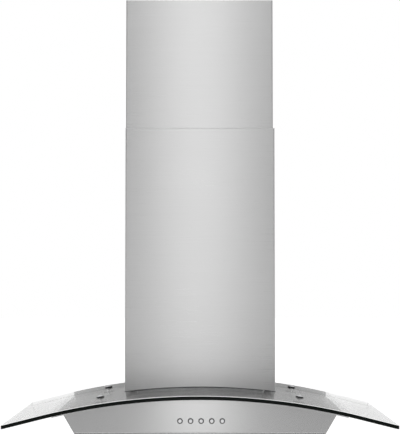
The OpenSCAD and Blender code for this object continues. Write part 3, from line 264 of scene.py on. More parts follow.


# %% [markdown]
# The plate under the glass lies in the shade of the chimney in its middle and mirrors the
# bright wall towards its ends. A modelled room would change every other reflection too, so
# this shade and reflection are painted into the plate's colour: a smooth curve over the
# distance from the centre line darkens its middle and lightens its ends.

# %% Helper: a factor that changes across the object
def across(nodes, links, stops):
    """A factor by |x|: a smooth curve through the (metres, factor) pairs."""
    where = nodes.new("ShaderNodeTexCoord")
    split = nodes.new("ShaderNodeSeparateXYZ")
    distance = nodes.new("ShaderNodeMath")
    distance.operation = "ABSOLUTE"
    curve = nodes.new("ShaderNodeFloatCurve")
    reach = stops[-1][0]
    points = curve.mapping.curves[0].points
    for place, factor in stops[1:-1]:
        points.new(place / reach, factor)
    points[0].location, points[-1].location = (0, stops[0][1]), (1, stops[-1][1])
    links.new(where.outputs["Object"], split.inputs["Vector"])
    links.new(split.outputs["X"], distance.inputs[0])
    share = ranged(nodes, links, distance.outputs["Value"], 0, 1, 0, reach)
    links.new(share, curve.inputs["Value"])
    return curve.outputs["Value"]


# %% [markdown]
# Stainless sheet is brushed: fine straight scratches that all run one way. They spread a
# reflection across themselves, so a lamp in front becomes a tall soft band on a panel with
# level scratches. Modelled scratches would be too many, so an anisotropic metal does that,
# with its direction from a Tangent node. A stretched noise draws the scratches themselves,
# in colour, in roughness and as a very shallow bump.

# %% Finish: brushed stainless
STEEL_GREY = 0.63
GRAINS, LONG_GRAINS = 5000.0, 9
GRAIN_CONTRAST = 0.04
DIRECTIONS = {
    "x": (LONG_GRAINS, GRAINS, GRAINS),
    "y": (GRAINS, LONG_GRAINS, GRAINS),
    "level": (LONG_GRAINS, LONG_GRAINS, GRAINS),
}


def brushed_steel(name, grey=STEEL_GREY, along="x", spin="Z", rough=0.3, stops=None):
    """Brushed steel whose scratches run along x, along y, or level round the object. stops
    are (metres, factor) pairs that scale its colour by the distance from the centre line,
    which paints shade and reflection into it."""
    material, nodes, links, shader = start_material(name)
    streaks = stretched_noise(nodes, links, DIRECTIONS[along], 2.0)
    cloud = stretched_noise(nodes, links, (5, 5, 9), 2.0)
    both = nodes.new("ShaderNodeMix")
    both.inputs["Factor"].default_value = 0.25
    links.new(streaks, both.inputs["A"])
    links.new(cloud, both.inputs["B"])
    mixed = both.outputs["Result"]
    low, high = grey * (1 - GRAIN_CONTRAST), grey * (1 + GRAIN_CONTRAST)
    colour = shaded(nodes, links, mixed, (low,) * 3, (high,) * 3)
    # Painted shade and painted reflection: the colour is scaled by the distance from the centre
    # line.
    if stops:
        painted_shading = nodes.new("ShaderNodeVectorMath")
        painted_shading.operation = "SCALE"
        links.new(colour, painted_shading.inputs[0])
        links.new(across(nodes, links, stops), painted_shading.inputs["Scale"])
        colour = painted_shading.outputs["Vector"]
    links.new(colour, shader.inputs["Base Color"])
    links.new(ranged(nodes, links, mixed, rough * 0.9, rough * 1.1), shader.inputs["Roughness"])
    set_inputs(shader, {"Metallic": 1.0, "Anisotropic": 0.9, "Anisotropic Rotation": 0.25})
    tangent = nodes.new("ShaderNodeTangent")
    tangent.direction_type = "RADIAL"
    tangent.axis = spin
    links.new(tangent.outputs["Tangent"], shader.inputs["Tangent"])
    bumped(nodes, links, shader, streaks, 2e-6, 0.4)
    return material


# %% [markdown]
# Each sheet gets its own steel. The covers' scratches run level round them, the panel's and
# the plates' run along one axis, and a cut edge is rougher and lighter than the faces.

# %% The steels
# Painted light for the canopy plate: darker in the chimney's shade, lighter where it mirrors the
# wall.
PLATE_PAINTED_LIGHT = (
    (0, 0.27), (0.04, 0.4), (0.08, 0.72), (0.11, 0.93), (0.14, 1.08), (0.17, 0.98),
    (0.215, 1.06), (0.245, 1.18), (0.29, 1.3),
)
COVER_STEEL = brushed_steel("brushed_cover_steel", along="level")
PANEL_STEEL = brushed_steel("brushed_panel_steel", 0.505, rough=0.23)
PLATE_STEEL = brushed_steel("underside_steel", 0.38, along="y", spin="Y", rough=0.38)
EDGE_STEEL = brushed_steel("cut_edge_steel", 0.76, along="level", rough=0.4)
FILTER_STEEL = brushed_steel("filter_steel", 0.58, along="y", spin="Y")
CANOPY_STEEL_PAINTED_LIGHT = brushed_steel("painted_light_canopy_steel", 0.44, along="y", spin="Y", rough=0.38,
                             stops=PLATE_PAINTED_LIGHT)
print("steels:", [m.name for m in bpy.data.materials if m.name.endswith("steel")])


# %% [markdown]
# Hidden sheets are galvanised. Zinc crystals leave a patchwork of slightly lighter and
# darker flakes. A noise would blur them together, while a Voronoi pattern gives each cell a
# level of its own, as crystals have.

# %% Finish: galvanised sheet
FLAKES = 120.0


def galvanised(name, grey=0.5):
    """Zinc-coated sheet with crystals about eight millimetres wide."""
    material, nodes, links, shader = start_material(name)
    where = nodes.new("ShaderNodeTexCoord")
    cells = nodes.new("ShaderNodeTexVoronoi")
    cells.inputs["Scale"].default_value = FLAKES
    links.new(where.outputs["Object"], cells.inputs["Vector"])
    split = nodes.new("ShaderNodeSeparateColor")
    links.new(cells.outputs["Color"], split.inputs["Color"])
    flake = split.outputs["Red"]
    tint = shaded(nodes, links, flake, (grey * 0.88, grey * 0.9, grey * 0.92),
                  (grey * 1.1, grey * 1.12, grey * 1.14))
    links.new(tint, shader.inputs["Base Color"])
    links.new(ranged(nodes, links, flake, 0.38, 0.5, 0, 1), shader.inputs["Roughness"])
    shader.inputs["Metallic"].default_value = 1.0
    bumped(nodes, links, shader, stretched_noise(nodes, links, (300,) * 3), 2e-5, 0.3)
    return material


GALVANISED = galvanised("galvanised_sheet")
print("sheet:", GALVANISED.name)


# %% [markdown]
# Small fasteners are bright zinc, the handles are polished, and the fan's pressed blades and
# the lamps' trims are plain aluminium. The satin bolts and buttons send back light from all
# sides, which a full metal in so plain a studio wouldn't, so they are only partly metallic.

# %% Finish: turned, pressed and plated metals
def plain_metal(name, colour, rough, spread=0.05, grains=400.0, metallic=1.0):
    """A metal with a slight mottle: its colour varies by the share spread, up and down."""
    material, nodes, links, shader = start_material(name)
    noise = stretched_noise(nodes, links, (grains,) * 3)
    low = tuple(c * (1 - spread) for c in colour)
    high = tuple(min(1, c * (1 + spread)) for c in colour)
    links.new(shaded(nodes, links, noise, low, high), shader.inputs["Base Color"])
    links.new(ranged(nodes, links, noise, rough * 0.85, rough * 1.15), shader.inputs["Roughness"])
    shader.inputs["Metallic"].default_value = metallic
    bumped(nodes, links, shader, noise, 1e-5, 0.3)
    return material


ZINC = plain_metal("zinc_plated_screws", (0.62, 0.63, 0.66), 0.28)
POLISHED = plain_metal("polished_caps", (0.78, 0.78, 0.79), 0.1, 0.02)
BOLT_STEEL = plain_metal("satin_bolt_steel", (0.9, 0.9, 0.91), 0.35, 0.03, metallic=0.5)
CAP_METAL = plain_metal("button_caps", (0.92, 0.92, 0.93), 0.3, 0.03, 1500.0, metallic=0.15)
PRESSED = plain_metal("pressed_aluminium", (0.5, 0.51, 0.53), 0.36)
SATIN = plain_metal("satin_aluminium_trim", (0.8, 0.8, 0.81), 0.3, 0.04, 900.0)
CAN = plain_metal("drawn_aluminium_can", (0.62, 0.63, 0.65), 0.3)
print("plain metals, from", ZINC.name, "to", CAN.name)


# %% [markdown]
# Moulded plastic, rubber and stoved paint share one recipe: an even colour, a fine grain
# from the tool as a bump, and a roughness that wanders a little. Each could have a tree of
# its own, but one helper makes them look like one product.

# %% Finish: moulded and painted pieces
def moulded(name, colour, rough=0.5, grain=8e-5, grains=900.0, specular=0.5, glow=0.0):
    """Plastic, rubber or paint with a fine grain of that height in metres. glow paints light
    in as an emission, for a part that is no lamp.
    """
    material, nodes, links, shader = start_material(name)
    noise = stretched_noise(nodes, links, (grains,) * 3)
    cloud = stretched_noise(nodes, links, (18, 18, 18), 2.0)
    dark = tuple(c * 0.94 for c in colour)
    light = tuple(min(1, c * 1.05) for c in colour)
    links.new(shaded(nodes, links, cloud, dark, light), shader.inputs["Base Color"])
    links.new(ranged(nodes, links, noise, rough * 0.88, rough * 1.12), shader.inputs["Roughness"])
    set_inputs(shader, {"Specular IOR Level": specular, "Emission Color": (1, 1, 1, 1),
                        "Emission Strength": glow})
    bumped(nodes, links, shader, noise, grain, 0.35)
    return material


BLACK_RUBBER = moulded("black_rubber", (0.018, 0.018, 0.019), 0.65, 5e-5, 700.0)
BLACK_PLASTIC = moulded("black_plastic", (0.022, 0.022, 0.024), 0.42)
GREY_PLASTIC = moulded("grey_plastic", (0.055, 0.058, 0.062), 0.45)
WHITE_PLASTIC = moulded("white_plastic", (0.74, 0.74, 0.71), 0.4)
MOTOR_PAINT = moulded("motor_paint", (0.09, 0.09, 0.095), 0.4, 4e-5, 350.0)
SOLDER_MASK = moulded("white_solder_mask", (0.8, 0.8, 0.76), 0.3, 2e-5)
LEAD_SHEATH = moulded("lead_sheath", (0.03, 0.03, 0.032), 0.5, 4e-5, 600.0)
print("moulded and painted, from", BLACK_RUBBER.name, "to", LEAD_SHEATH.name)


# %% [markdown]
# A lamp's lens is frosted plastic: it lets light through but no picture. The lamps are off,
# so most of what shows is the white of the plastic, and a small share of transmission is
# enough.

# %% Finish: frosted lens
def lens_plastic(name):
    """White frosted plastic with a fine grain."""
    material, nodes, links, shader = start_material(name)
    noise = stretched_noise(nodes, links, (700, 700, 700))
    white = shaded(nodes, links, noise, (0.93, 0.93, 0.92), (0.97, 0.97, 0.96))
    links.new(white, shader.inputs["Base Color"])
    shader.inputs["Transmission Weight"].default_value = 0.1
    links.new(ranged(nodes, links, noise, 0.35, 0.5), shader.inputs["Roughness"])
    bumped(nodes, links, shader, noise, 6e-5, 0.4)
    return material


LENS = lens_plastic("frosted_lens")
print("lens:", LENS.name)


# %% [markdown]
# The canopy is float glass, almost clear through its face. Its surface could bend every
# ray, but here a share of it lets light straight through, which keeps what is behind it in
# place. An absorbing volume darkens what is seen along a longer path.

# %% Finish: canopy glass
GLASS_TINT = (0.945, 0.947, 0.945)
GLASS_DEPTH_TINT = (0.655, 0.66, 0.657)


def canopy_glass(name, tint, cover, depth_tint, density):
    """Clear glass. cover is the share of light that the surface bends or mirrors, and
    density darkens it with the length of the path inside."""
    material, nodes, links, shader = start_material(name)
    smudge = stretched_noise(nodes, links, (6, 6, 6), 2.0)
    clean = tuple(c * 1.02 for c in tint)
    links.new(shaded(nodes, links, smudge, tint, clean), shader.inputs["Base Color"])
    links.new(ranged(nodes, links, smudge, 0.0, 0.008), shader.inputs["Roughness"])
    set_inputs(shader, {"Transmission Weight": 1.0, "IOR": 1.52, "Alpha": cover})
    inside = nodes.new("ShaderNodeVolumeAbsorption")
    set_inputs(inside, {"Color": (*depth_tint, 1), "Density": density})
    links.new(inside.outputs["Volume"], nodes["Material Output"].inputs["Volume"])
    return material


CANOPY_GLASS = canopy_glass("arched_glass", GLASS_TINT, 0.45, GLASS_DEPTH_TINT, 6.0)
print("glass:", CANOPY_GLASS.name)


# %% [markdown]
# Seen from the front, the pane's edge is nearly black, because light that leaves there has
# crossed half a metre of glass. The renderer could follow it, but only with very many
# bounces, so the upright edge gets painted darkness instead, a near-black finish of its own.
# The chamfer above it is pale and matt from the stone, and it gets a painted glow, an
# emission that stands in for the light that runs inside the pane and leaves there.

# %% Finish: the pane's ground edge
# Painted darkness: the upright edge is near-black in place of the light lost inside the glass.
GLASS_EDGE_PAINTED_DARK = moulded("polished_glass_edge_painted_dark", (0.004, 0.006, 0.005), 0.16, 1e-6, 300.0,
                     specular=0.06)
# Painted glow: the arris emits a little light as a thin painted highlight.
ARRIS_PAINTED_GLOW = moulded("stoned_arris_painted_glow", (0.92, 0.93, 0.92), 0.4, 2e-5, 1500.0, glow=0.3)
print("edges:", GLASS_EDGE_PAINTED_DARK.name, "and", ARRIS_PAINTED_GLOW.name)


# %% [markdown]
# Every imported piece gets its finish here, also those that a finer piece stands in for, so
# that none is left plain. A rule on the names could choose the finish, but a list is easier
# to read and to change.

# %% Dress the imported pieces
BUTTON_COUNT = 5
SIDES = ("left", "right")
WEARERS = (
    (COVER_STEEL, ["chimney_lower", "chimney_upper"]),
    (PANEL_STEEL, ["body_shell", "front_panel"]),
    (PLATE_STEEL, ["bottom_frame"]),
    (CANOPY_STEEL_PAINTED_LIGHT, ["top_plate"]),
    (CANOPY_GLASS, ["glass_canopy"]),
    (BLACK_RUBBER, ["glass_pads", "glass_washers", "chimney_seal"]),
    (BOLT_STEEL, ["glass_bolts"]),
    (ZINC, ["glass_nuts", "fan_box_screws", "motor_shaft", "collar_screws", "damper_pin",
            "chimney_screws", "ceiling_screws"]),
    (BLACK_PLASTIC, ["button_bezels", "switch_block", "duct_collar", "cable_gland"]),
    (GALVANISED, ["fan_box", "motor_bracket", "chimney_tabs", "ceiling_bracket",
                  "capacitor_strap"]),
    (GREY_PLASTIC, ["scroll_housing", "inlet_rings"]),
    (MOTOR_PAINT, ["motor"]),
    (PRESSED, ["fan_wheel", "damper_front", "damper_rear"]),
    (WHITE_PLASTIC, ["junction_box", "junction_lid", "terminal_block", "led_driver"]),
    (CAN, ["capacitor"]),
    (LEAD_SHEATH, ["wiring"]),
    (CAP_METAL, [f"button_{number}" for number in range(1, BUTTON_COUNT + 1)]),
    (FILTER_STEEL, [f"filter_{side}_{part}" for side in SIDES for part in ("frame", "baffles")]),
    (POLISHED, [f"filter_{side}_handle" for side in SIDES]),
    (SATIN, [f"lamp_{side}_cup" for side in SIDES]),
    (LENS, [f"lamp_{side}_lens" for side in SIDES]),
    (SOLDER_MASK, [f"lamp_{side}_board" for side in SIDES]),
)
FINISHES = {name: material for material, names in WEARERS for name in names}
for name, node in NODE.items():
    node.data.materials.clear()
    node.data.materials.append(FINISHES[name])
print("dressed", len(NODE), "packed pieces")


# %% [markdown]
# The pane is one sheet bent to an arc, with a straight stretch at each side. A flat plate
# could be bent with a Simple Deform modifier, but a formula for its height sets both faces
# exactly 8 mm apart and serves the bolts too.

# %% The pane's arc
ARC_R = 1.25
ARC_HALF = 0.303
GLASS_T = 8 * MM
glass_low, glass_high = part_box("glass_canopy")
ARC_CENTRE = glass_high.z - ARC_R
ARC_ANGLE = math.asin(ARC_HALF / ARC_R)
print("the pane bends", round(math.degrees(2 * ARC_ANGLE), 1), "degrees in all")


def arc_height(x, depth):
    """Height of the face that lies depth below the upper one: the arc's centre plus
    sqrt(r^2 - x^2) up to the bend's end, and a tangent line from there."""
    r = ARC_R - depth
    bend = r * math.sin(ARC_ANGLE)
    flat = np.abs(x) - bend
    curved = np.sqrt(r**2 - np.minimum(np.abs(x), bend) ** 2)
    return ARC_CENTRE + curved - np.maximum(flat, 0) * math.tan(ARC_ANGLE)


# %% [markdown]
# Seen from above, the pane is a rectangle with round corners, a cut-out for the fan box and
# four holes. A drawn curve would do, but quarter circles joined by straight lines follow the
# measured boxes. The lines need extra points, because the edge has to follow the bend.

# %% The pane's outlines in plan
CORNER_R, CUT_R, CUT_GAP = 9 * MM, 6 * MM, 3 * MM
OUTLINE_STEP = 6 * MM
BOLT_X, BOLT_YS, HOLE_R = 0.1975, (-0.098, -0.350), 3.5 * MM
BOLTS = [(side * BOLT_X, y) for side in (-1, 1) for y in BOLT_YS]


def corner_arc(x, y, radius, start, steps=8):
    """A quarter circle about (x, y) from the start angle, anticlockwise if radius is
    positive: (x + r cos t, y + r sin t)."""
    turn = np.radians(start + np.linspace(0, 90, steps) * (1 if radius > 0 else -1))
    return np.stack([x + abs(radius) * np.cos(turn), y + abs(radius) * np.sin(turn)], 1)


def with_steps(loop, step):
    """A closed outline with points added so that none are further apart than step."""
    out = []
    for a, b in zip(loop, np.roll(loop, -1, 0)):
        count = max(1, math.ceil(np.linalg.norm(b - a) / step))
        out.append(a + (b - a) * (np.arange(count) / count)[:, None])
    return np.vstack(out)


box_low, box_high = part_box("fan_box")
cut_x, cut_y = box_high.x + CUT_GAP, box_low.y - CUT_GAP
gx, front_y, rear_y = glass_high.x, glass_low.y, glass_high.y
outline = with_steps(np.vstack([
    corner_arc(-gx + CORNER_R, front_y + CORNER_R, CORNER_R, 180),
    corner_arc(gx - CORNER_R, front_y + CORNER_R, CORNER_R, 270),
    corner_arc(gx - CORNER_R, rear_y - CORNER_R, CORNER_R, 0),
    [[cut_x, rear_y]],
    corner_arc(cut_x - CUT_R, cut_y + CUT_R, -CUT_R, 0),
    corner_arc(-cut_x + CUT_R, cut_y + CUT_R, -CUT_R, 270),
    [[-cut_x, rear_y]],
    corner_arc(-gx + CORNER_R, rear_y - CORNER_R, CORNER_R, 90),
]), OUTLINE_STEP)
turns = np.linspace(0, -2 * math.pi, 24, endpoint=False)
round_hole = HOLE_R * np.stack([np.cos(turns), np.sin(turns)], 1)
loops = [outline] + [np.array(place) + round_hole for place in BOLTS]
print("outline points:", len(outline), "and", len(BOLTS), "holes")


# %% [markdown]
# A cut pane is ground: a stone takes off the sharp edge and leaves a chamfer, the arris,
# that catches a thin line of light. A Bevel modifier could cut it, but it needs clean edges
# all round. Here six points, each with its own depth and inset, are carried along a loop.

# %% The ground edge
ARRIS_IN = 3 * MM
ARRIS_INSETS = np.array([1, 0.3, 0, 0, 0.3, 1]) * ARRIS_IN
ARRIS_DEPTHS = np.array([0, 0.25, 0.6, 7.1, 7.5, 8.0]) * MM


def inwards(loop):
    """Unit vectors in plan into the glass, which a loop keeps on its left."""
    along = np.roll(loop, -1, 0) - np.roll(loop, 1, 0)
    along /= np.linalg.norm(along, axis=1)[:, None]
    return np.stack([-along[:, 1], along[:, 0]], 1)


def edge_strip(loop):
    """A grid round a loop: loop + inset times the way inwards, at the height of its depth."""
    plan = loop + inwards(loop) * ARRIS_INSETS[:, None, None]
    heights = np.stack([arc_height(row[:, 0], d) for row, d in zip(plan, ARRIS_DEPTHS)])
    points = np.concatenate([plan, heights[..., None]], 2)
    return points.reshape(-1, 3), grid_faces(len(ARRIS_DEPTHS), len(loop), closed_cols=True)


# %% [markdown]
# One big face with holes would cut itself up badly once it is bent, so rows of points lie
# across the arc, and a Delaunay triangulation joins them to the rims. It is made once, in
# plan, and laid on the upper and the lower face.

# %% The faces between the outlines
ROW_GAP, ROWS = 8 * MM, 12
RIM_MARGIN, CUT_MARGIN, HOLE_MARGIN = 20 * MM, 6 * MM, 4 * MM


def bolt_distance(points):
    """Each point's distance in plan from the nearest bolt."""
    return np.min([np.hypot(*(points - place).T) for place in BOLTS], 0)


def plan_faces():
    """Triangles of the plan between the outlines, with rows of points across the arc."""
    rims = [loop + inwards(loop) * ARRIS_IN for loop in loops]
    xs = np.arange(-gx + 3 * ROW_GAP, gx - 2 * ROW_GAP, ROW_GAP)
    ys = np.linspace(front_y + RIM_MARGIN, rear_y - RIM_MARGIN, ROWS)
    inner = np.stack(np.meshgrid(xs, ys), 2).reshape(-1, 2)
    in_cut = (np.abs(inner[:, 0]) < cut_x + CUT_MARGIN) & (inner[:, 1] > cut_y - CUT_MARGIN)
    inner = inner[~in_cut & (bolt_distance(inner) >= HOLE_R + HOLE_MARGIN)]
    starts = np.cumsum([0] + [len(rim) for rim in rims])
    edges = [(start + k, start + (k + 1) % len(rim))
             for rim, start in zip(rims, starts) for k in range(len(rim))]
    flat = [Vector(p) for p in np.vstack(rims + [inner])]
    points, _, faces, *_ = delaunay_2d_cdt(flat, edges, [], 1, 1e-7)
    points, faces = np.array([tuple(p) for p in points]), np.array(faces)
    return points, faces[bolt_distance(points[faces].mean(1)) >= HOLE_R].tolist()


plan_points, plan_tris = plan_faces()
print("triangles on each face:", len(plan_tris))


# %% [markdown]
# The pane is put together from its two faces and five ground edges. Only the edge along the
# front gets the painted black and the pale arris with its painted glow. The sides and the back
# could wear them too, but from the front they are seen through the glass and would leave a
# dark band behind it.

# %% The pane as a mesh
# Material numbers from the top of the edge down: 2 is the arris with its painted glow, 1 the edge
# painted black, 0 the glass.
FRONT_STRIP = [2, 2, 1, 1, 0]
both_faces = [
    (np.column_stack([plan_points, arc_height(plan_points[:, 0], depth)]), plan_tris)
    for depth in (0.0, GLASS_T)
]
finish_of_face = [np.zeros(2 * len(plan_tris))]
for loop in loops:
    faces_front = (inwards(loop)[:, 1] > 0.25) & (loop[:, 1] < front_y + CORNER_R)
    finish_of_face.append(np.outer(FRONT_STRIP, faces_front).ravel())
pane = add_piece("arched_pane", both_faces + [edge_strip(loop) for loop in loops], "hood",
                 [CANOPY_GLASS, GLASS_EDGE_PAINTED_DARK, ARRIS_PAINTED_GLOW], "glass_canopy",
                 crease=25, which=np.concatenate(finish_of_face))


# %% [markdown]
# A mirror shows every unevenness of a mesh, and long thin triangles would ripple the wings'
# reflections. More triangles would only make the ripples smaller, but the arc's direction is
# known by a formula, so each face corner is given it as a custom normal.

# %% Even reflections on the pane
def mesh_values(items, key, width, kind):
    """One property of all items of a mesh as an array with a row for each component."""
    values = np.empty(width * len(items), dtype=kind)
    items.foreach_get(key, values)
    return values.reshape(-1, width).T


def exact_normals(mesh):
    """On both faces the normal is (x, 0, sqrt(r^2 - x^2)) / r, the arc's own, with x held at
    the bend's end. Elsewhere it is zero, which leaves a corner's normal as it is."""
    corner = mesh_values(mesh.loops, "vertex_index", 1, np.int32)[0]
    x = mesh_values(mesh.vertices, "co", 3, float)[0][corner]
    totals = mesh_values(mesh.polygons, "loop_total", 1, np.int32)[0]
    upright = np.repeat(mesh_values(mesh.polygons, "normal", 3, float)[2], totals)
    sine = np.clip(x / ARC_R, -math.sin(ARC_ANGLE), math.sin(ARC_ANGLE))
    square = np.stack([sine, np.zeros(len(x)), np.sqrt(1 - sine**2)], 1)
    square *= np.sign(upright)[:, None]
    return np.where((np.abs(upright) > 0.9)[:, None], square, 0.0)


pane.data.normals_split_custom_set(exact_normals(pane.data).tolist())
print("normals set on", len(pane.data.loops), "face corners")


# %% [markdown]
# The lower cover's top edge is a cut sheet with its burr rolled off. It reads as a thin
# darker line across the chimney, because a rounded edge mirrors the room above instead of
# the lamp in front. A painted line would fake it from one side only, so it is a small
# rounded profile carried round the three sides.

# %% The lower cover's rounded top edge
EDGE_BEND, EDGE_DROP = 2 * MM, 0.9 * MM
LIP_W, LIP_UP, TO_MIDDLE = 0.75 * MM, 0.95 * MM, 0.5 * MM


def three_sides(low, high, bend, steps=6):
    """A path in plan along the left, front and right sides of a box, with round corners."""
    corners = [corner_arc(low.x + bend, low.y + bend, bend, 180, steps),
               corner_arc(high.x - bend, low.y + bend, bend, 270, steps)]
    return np.vstack([[[low.x, high.y]], *corners, [[high.x, high.y]]])


cover_low, cover_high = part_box("chimney_lower")
plan = three_sides(cover_low, cover_high, EDGE_BEND)
at_side = np.abs(plan[:, 0]) > cover_high.x - EDGE_BEND
at_front = plan[:, 1] < cover_low.y + EDGE_BEND
sheet_middle = plan + np.stack([np.sign(-plan[:, 0]) * at_side, at_front], 1) * TO_MIDDLE
lip_path = np.column_stack([sheet_middle, np.full(len(plan), cover_high.z - EDGE_DROP)])
add_piece("cover_top_edge", [swept(lip_path, ellipse(LIP_W, LIP_UP, 15), (0, 0, 1))], "hood",
          EDGE_STEEL)


# %% [markdown]
# The front panel's lower edge is folded back on itself, so that no raw edge faces the cook.
# From the front the fold is a thin darker line under the panel. A thin box would show hard
# corners, so it is a small round profile carried along the panel's width.

# %% The front panel's hem
HEM_R, HEM_HALF, HEM_DROP = 1.2 * MM, 237.6 * MM, 0.6 * MM
panel_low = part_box("front_panel")[0]
hem_y, hem_z = panel_low.y + HEM_R, panel_low.z - HEM_DROP
hem_path = [(share * HEM_HALF, hem_y, hem_z) for share in (-1, -0.5, 0.5, 1)]
add_piece("panel_hem", [swept(hem_path, ellipse(HEM_R, HEM_R, 16), (0, 0, 1))], "hood",
          PANEL_STEEL)


# %% [markdown]
# Four domed bolts hold the pane, each in a thick cup washer of dark rubber, which is most
# of what shows from the front. A flattened sphere could be the head, but turned profiles
# give it a rolled rim and a shank, and the pane's formula sets them square to the arc.

# %% Bolts and washers
AROUND = 40
HEAD_R, HEAD_H = 6.3 * MM, 2.8 * MM
WASHER_R, WASHER_T, WASHER_BORE, WASHER_LIFT = 7.7 * MM, 2.5 * MM, 3.3 * MM, 0.05 * MM
SHANK_R, SHANK_END = 3 * MM, 20.9 * MM


def on_arc(x, y):
    """A point on the pane's upper face and the direction that stands square on it."""
    angle = math.asin(x / ARC_R)
    return (x, y, float(arc_height(np.array(x), 0.0))), (math.sin(angle), 0.0, math.cos(angle))


def dome_profile():
    """Half a domed bolt: a ball of radius (r^2 + h^2) / 2h, then its rim and its shank."""
    ball = (HEAD_R**2 + HEAD_H**2) / (2 * HEAD_H)
    angle = np.linspace(0, math.asin(HEAD_R / ball) * 0.97, 12)
    top = WASHER_T + HEAD_H
    dome = np.stack([ball * np.sin(angle), top - ball * (1 - np.cos(angle))], 1)
    rim = rounded([dome[-1], [HEAD_R, WASHER_T + 0.5 * MM], [HEAD_R, WASHER_T],
                   [SHANK_R, WASHER_T]], 0.3 * MM)
    end = [[SHANK_R, -SHANK_END + 0.6 * MM], [SHANK_R - 0.5 * MM, -SHANK_END], [0, -SHANK_END]]
    return np.vstack([dome, rim[1:], end])


cup_washer = rounded([
    [WASHER_BORE, WASHER_LIFT], [WASHER_R, WASHER_LIFT], [WASHER_R, WASHER_T - 1 * MM],
    [HEAD_R, WASHER_T], [WASHER_BORE, WASHER_T], [WASHER_BORE, WASHER_LIFT],
], 0.35 * MM)
seats = [on_arc(x, y) for x, y in BOLTS]
bolts = [turned(dome_profile(), seat, up, AROUND) for seat, up in seats]
washers = [turned(cup_washer, seat, up, AROUND) for seat, up in seats]
add_piece("domed_bolts", bolts, "hood", BOLT_STEEL, "glass_bolts")
add_piece("bolt_washers", washers, "hood", BLACK_RUBBER, "glass_washers")


# %% [markdown]
# The push buttons are turned caps with a shallow dish and a rounded rim. Plain cylinders
# would show one flat grey, while a dish shades from one side to the other. Each cap slides
# in the panel, so each one rides on its own body.

# %% Push buttons
CAP_R, CAP_LONG, STEM_R = 3.3 * MM, 4.7 * MM, 1.8 * MM
DISH = [[0, 0.35 * MM], [0.45 * CAP_R, 0.3 * MM], [0.74 * CAP_R, 0.12 * MM], [0.86 * CAP_R, 0]]
for number in range(1, BUTTON_COUNT + 1):
    name = f"button_{number}"
    low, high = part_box(name)
    centre = ((low.x + high.x) / 2, low.y, (low.z + high.z) / 2)
    long = high.y - low.y
    barrel = rounded([DISH[-1], [CAP_R, 0.12 * MM], [CAP_R, CAP_LONG], [STEM_R, CAP_LONG],
                      [STEM_R, long], [0, long]], 0.35 * MM)
    cap = turned(np.vstack([DISH, barrel[1:]]), centre, (0, 1, 0), AROUND)
    add_piece(f"push_cap_{number}", [cap], name, CAP_METAL, name)


# %% [markdown]
# Each cap runs in a dark moulded ring that is pushed through the panel from the front. Five
# objects would do, but the rings never move apart, so they are one piece.

# %% Button rings
BEZEL_R, BEZEL_T, BORE_R, BARREL_R = 5.3 * MM, 1.0 * MM, 3.38 * MM, 4.28 * MM
LEAD_IN = 0.45 * MM
bezel_low, bezel_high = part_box("button_bezels")
deep = bezel_high.y - bezel_low.y
ring_profile = rounded([
    [BORE_R, LEAD_IN], [BORE_R + 0.35 * MM, 0], [BEZEL_R - 0.5 * MM, 0],
    [BEZEL_R, 0.5 * MM], [BEZEL_R, BEZEL_T], [BARREL_R, BEZEL_T],
    [BARREL_R, deep], [BORE_R, deep], [BORE_R, LEAD_IN],
], 0.25 * MM)
rings = []
for number in range(1, BUTTON_COUNT + 1):
    low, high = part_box(f"button_{number}")
    face = ((low.x + high.x) / 2, bezel_low.y, (low.z + high.z) / 2)
    rings.append(turned(ring_profile, face, (0, 1, 0), AROUND))
add_piece("button_rings", rings, "hood", BLACK_PLASTIC, "button_bezels")


# %% [markdown]
# Under the body sit two grease filters. Each is a frame full of folded slats, the lower row
# open upwards and the upper row open downwards, so that fat drips off in between. Boxes
# would do from far off, but the round bends are what makes a slat shine, so its section is a
# rounded middle line with half the sheet's thickness added on each side.

# %% Filter slats
SLAT_W, LIP_H, SLAT_N, SLAT_T, SLAT_BEND = 20 * MM, 4 * MM, 6, 0.8 * MM, 1.3 * MM


def sheet_section(corners, bend, thick):
    """A folded strip's section: the rounded middle line moved thick / 2 to each side."""
    line = rounded(corners, bend, 5)
    ahead = np.gradient(line, axis=0)
    ahead /= np.linalg.norm(ahead, axis=1)[:, None]
    off = np.stack([-ahead[:, 1], ahead[:, 0]], 1) * thick / 2
    return np.vstack([line + off, (line - off)[::-1]])


half, t = SLAT_W / 2, SLAT_T / 2
trough = sheet_section([[-half + t, LIP_H], [-half + t, t], [half - t, t], [half - t, LIP_H]],
                       SLAT_BEND, SLAT_T)
for side in SIDES:
    low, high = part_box(f"filter_{side}_baffles")
    pitch = (high.x - low.x - SLAT_W) / (SLAT_N - 1)
    ends = [low.y, low.y + 1 * MM, high.y - 1 * MM, high.y]
    slats = []
    for k in range(2 * SLAT_N - 1):
        x, upper = low.x + half + k * pitch / 2, k % 2
        section = trough * (1, -1) if upper else trough
        z = high.z if upper else low.z
        slats.append(swept([(x, y, z) for y in ends], section, (0, 0, 1)))
    add_piece(f"filter_{side}_slats", slats, f"filter_{side}", FILTER_STEEL,
              f"filter_{side}_baffles")


# %% [markdown]
# A filter is pulled down by a bent wire that folds flat against it. A torus would be too
# round, so the wire is swept round a rectangle with round corners. It folds about its own
# hinge, so it rides on the handle's body and not on the filter's.

